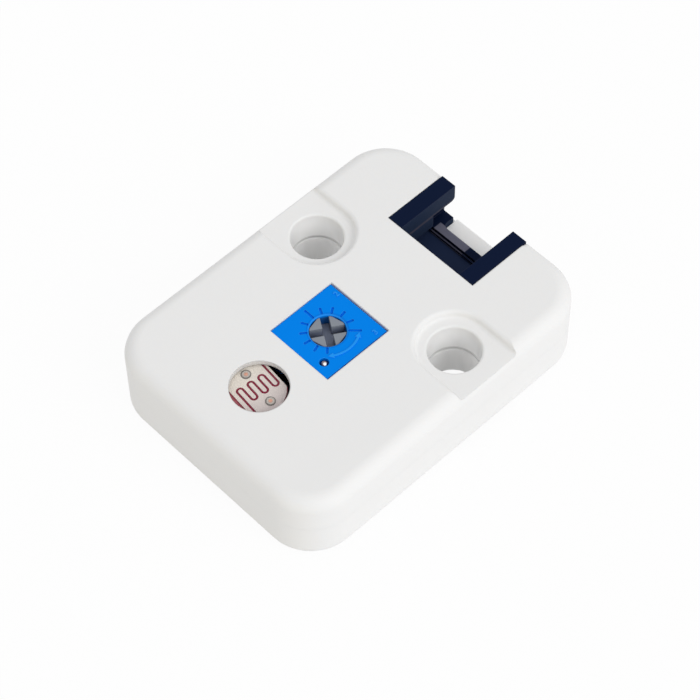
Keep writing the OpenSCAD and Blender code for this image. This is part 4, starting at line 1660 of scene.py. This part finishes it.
@dataclass
class Adjuster(SubAssembly):
    """Square threshold adjuster with its dial and turning rotor."""

    arrow_radius: float = 2.75 * MM
    arrow_width: float = 0.17 * MM
    arrow_range: Pair = (-30.0, 27.0)
    head_length: float = 0.46 * MM
    head_width: float = 0.5 * MM
    relief: float = 0.06 * MM
    numeral: float = 0.5 * MM
    numeral_turn: float = 90.0
    numbers: tuple[tuple[str, Pair], ...] = (("3", (2.62 * MM, 0.35 * MM)), ("2", (-2.3 * MM, 0.75 * MM)))
    # Raised marks of the same plastic, painted paler than the case as a highlight.
    marks: MouldedPlastic = MouldedPlastic(
        "Blue_marks_painted_highlight",
        (0.015, 0.33, 0.95),
        (0.0, 0.28, 0.9),
        roughness=0.5,
        gloss=0.15,
        edge=0.025 * MM,
        # Painted highlight along the marks' edges.
        edge_highlight=(0.1, 0.47, 0.98),
    )
    pin_end: PinEnd = PinEnd("Pin_end", (0.72, 0.72, 0.7), (0.5, 0.5, 0.48))

    def build(self) -> None:
        """Dresses the nodes and makes the dial's raised marks."""
        self.dress(
            {
                "trimmer_housing": Slot.BLUE,
                "trimmer_rotor": Slot.GREY,
                "trimmer_wiper": Slot.GOLD,
                "trimmer_element": Slot.CERAMIC,
                "trimmer_track": Slot.CARBON,
                "trimmer_seal_ring": Slot.RUBBER,
            }
        )
        self.dress({f"trimmer_pin_{i}": Slot.TIN for i in (2, 3)})
        self.wear("trimmer_pin_1", self.book.material(self.pin_end))
        low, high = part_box("trimmer_rotor")
        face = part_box("trimmer_housing")[1].z
        centre = Vector(((low.x + high.x) / 2, (low.y + high.y) / 2, face))
        self.arrow(centre)
        self.numerals(face)

    def arrow(self, centre: Vector) -> None:
        """Makes the raised turning arrow, with a head at each end.

        Args:
            centre: Middle of the dial, on the case's face.
        """
        first, last = (math.radians(a) for a in self.arrow_range)
        r, half = self.arrow_radius, self.arrow_width / 2
        steps = 24
        outline = []
        for side, sweep in ((1, range(steps + 1)), (-1, range(steps, -1, -1))):
            for i in sweep:
                angle = first + (last - first) * i / steps
                reach = r + side * half
                outline.append(Vector((reach * math.cos(angle), reach * math.sin(angle), 0)))
            end, way = (last, 1) if side == 1 else (first, -1)
            for reach, ahead in ((side, 0.0), (0, way), (-side, 0.0)):
                angle = end + ahead * self.head_length / r
                far = r + reach * self.head_width / 2
                outline.append(Vector((far * math.cos(angle), far * math.sin(angle), 0)))
        work = bmesh.new()
        sunk = Vector((0, 0, -0.01 * MM))
        top = [work.verts.new(centre + p + Vector((0, 0, self.relief))) for p in outline]
        foot = [work.verts.new(centre + p + sunk) for p in outline]
        work.faces.new(top)
        work.faces.new(foot)
        for i, corner in enumerate(top):
            j = (i + 1) % len(top)
            work.faces.new((corner, top[j], foot[j], foot[i]))
        piece = mesh_piece("turning_arrow", work, self.book.material(self.marks))
        finish_piece(piece, Body.HOUSING, smooth=30)

    def numerals(self, face: float) -> None:
        """Makes the raised numbers beside two of the pins.

        Args:
            face: Height of the case's face.
        """
        work = bmesh.new()
        for text, (x, y) in self.numbers:
            raised_text(text, self.numeral, self.relief, Vector((x, y, face)), self.numeral_turn, work)
        piece = mesh_piece("pin_numbers", work, self.book.material(self.marks))
        finish_piece(piece, Body.HOUSING, smooth=30)


# Studio


@dataclass
class Studio:
    """Camera, lights and pale floor."""

    azimuth: float = 46.888
    elevation: float = 55.103
    roll: float = -1.098
    distance: float = 211.486 * MM
    shift: Pair = (-0.022 * MM, 0.526 * MM)
    target: Vector = field(default_factory=lambda: Vector((0, 0, 3.5 * MM)))
    focal_pixels: float = 2582.267
    image_width: int = 700
    sensor: float = 36.0
    key_direction: Vector = field(default_factory=lambda: Vector((0.8, 0.06, 0.56)))
    key_strength: float = 1.02
    key_spread: float = 42.0
    ambient: float = 0.74
    floor_color: float = 0.86
    floor_seen: float = 1.06
    floor_lift: float = 0.94
    # Reach of the whiter patch painted into the shadow under the part.
    lit_patch_radius: float = 11.8 * MM
    floor_white: float = 0.99
    floor_radius: float = 3.0
    clip: Pair = (0.01, 10.0)

    def build(self) -> None:
        """Makes everything that isn't part of the object."""
        bpy.context.scene.view_settings.view_transform = "Standard"
        self.camera()
        self.lights()
        self.floor()

    def camera(self) -> None:
        """Makes the camera at the photograph's viewing angle."""
        a, e, r = (math.radians(v) for v in (self.azimuth, self.elevation, self.roll))
        back = Vector((math.sin(a) * math.cos(e), -math.cos(a) * math.cos(e), math.sin(e)))
        level = Vector((math.cos(a), math.sin(a), 0))
        rise = back.cross(level)
        right = math.cos(r) * level + math.sin(r) * rise
        up = math.cos(r) * rise - math.sin(r) * level
        data = bpy.data.cameras.new("Camera")
        data.sensor_width = self.sensor
        data.lens = self.focal_pixels * self.sensor / self.image_width
        data.clip_start, data.clip_end = self.clip
        camera = bpy.data.objects.new("Camera", data)
        place = self.target + back * self.distance - right * self.shift[0] - up * self.shift[1]
        turn = Matrix((right, up, back)).transposed().to_4x4()
        camera.matrix_world = Matrix.Translation(place) @ turn
        bpy.context.scene.collection.objects.link(camera)
        bpy.context.scene.camera = camera

    def lights(self) -> None:
        """Makes the key lamp and the even world light."""
        data = bpy.data.lights.new("Key", "SUN")
        data.energy = self.key_strength
        data.angle = math.radians(self.key_spread)
        key = bpy.data.objects.new("Key", data)
        key.rotation_mode = "QUATERNION"
        key.rotation_quaternion = self.key_direction.to_track_quat("Z", "Y")
        bpy.context.scene.collection.objects.link(key)
        world = bpy.data.worlds.new("World")
        world.use_nodes = True
        world.node_tree.nodes.clear()
        book = NodeBook(world.node_tree)
        seen = self.seen(book)
        light = book.add("ShaderNodeBackground", sockets={"Color": (1, 1, 1), "Strength": self.ambient})
        white = book.add("ShaderNodeBackground", sockets={"Color": (1, 1, 1), "Strength": 1.0})
        both = book.add("ShaderNodeMixShader", sockets={0: seen, 1: light.outputs[0], 2: white.outputs[0]})
        book.add("ShaderNodeOutputWorld", sockets={0: both.outputs[0]})
        bpy.context.scene.world = world

    @staticmethod
    def seen(book: NodeBook) -> Value:
        """Tells rays that show the background from those that light the object.

        Args:
            book: Node tree that asks.

        Returns:
            1 for rays that show the background and 0 for the others.
        """
        path = book.add("ShaderNodeLightPath")
        camera = Value(book, path.outputs["Is Camera Ray"])
        glossy = Value(book, path.outputs["Is Glossy Ray"])
        through = Value(book, path.outputs["Is Transmission Ray"])
        return camera.most(glossy).most(through)

    def floor(self) -> None:
        """Makes the pale floor, which keeps the object's shadow, with a whiter patch painted under the
        part.
        """
        work = bmesh.new()
        bmesh.ops.create_circle(work, cap_ends=True, radius=self.floor_radius, segments=96)
        shader = Shader("Pale_floor")
        floor_white_rgb = (self.floor_white,) * 3
        cloud = shader.noise(0.05, 2.0)
        tone = shader.mix(cloud, (self.floor_color,) * 3, (self.floor_color - 0.01,) * 3)
        x, y, _ = shader.split(shader.place)
        # Painted light: whiter floor under the part, where its shadow falls.
        under = shader.away(x, y).step(self.lit_patch_radius, 0.9 * self.lit_patch_radius)
        tone = shader.mix(under, tone, floor_white_rgb)
        seen = self.seen(shader)
        color = shader.mix(seen, tone, (self.floor_seen,) * 3)
        matt = shader.add("ShaderNodeBsdfDiffuse", sockets={"Color": color})
        glow = shader.add("ShaderNodeEmission", sockets={"Color": floor_white_rgb, "Strength": 1.0})
        lifted = {0: self.floor_lift * seen, 1: matt.outputs[0], 2: glow.outputs[0]}
        surface = shader.add("ShaderNodeMixShader", sockets=lifted)
        shader.add("ShaderNodeOutputMaterial", sockets={0: surface.outputs[0]})
        floor = mesh_piece("Floor", work, shader.material)


def main() -> None:
    """Builds the studio and every sub-assembly, and reports each."""
    logging.basicConfig(level=logging.INFO, format="%(message)s")
    book = FinishBook()
    Studio().build()
    for part in (Housing, Board, Socket, Photocell, Adjuster):
        part(book).build()
        LOG.info("%s is in place", part.__name__)


if __name__ == "__main__":
    main()
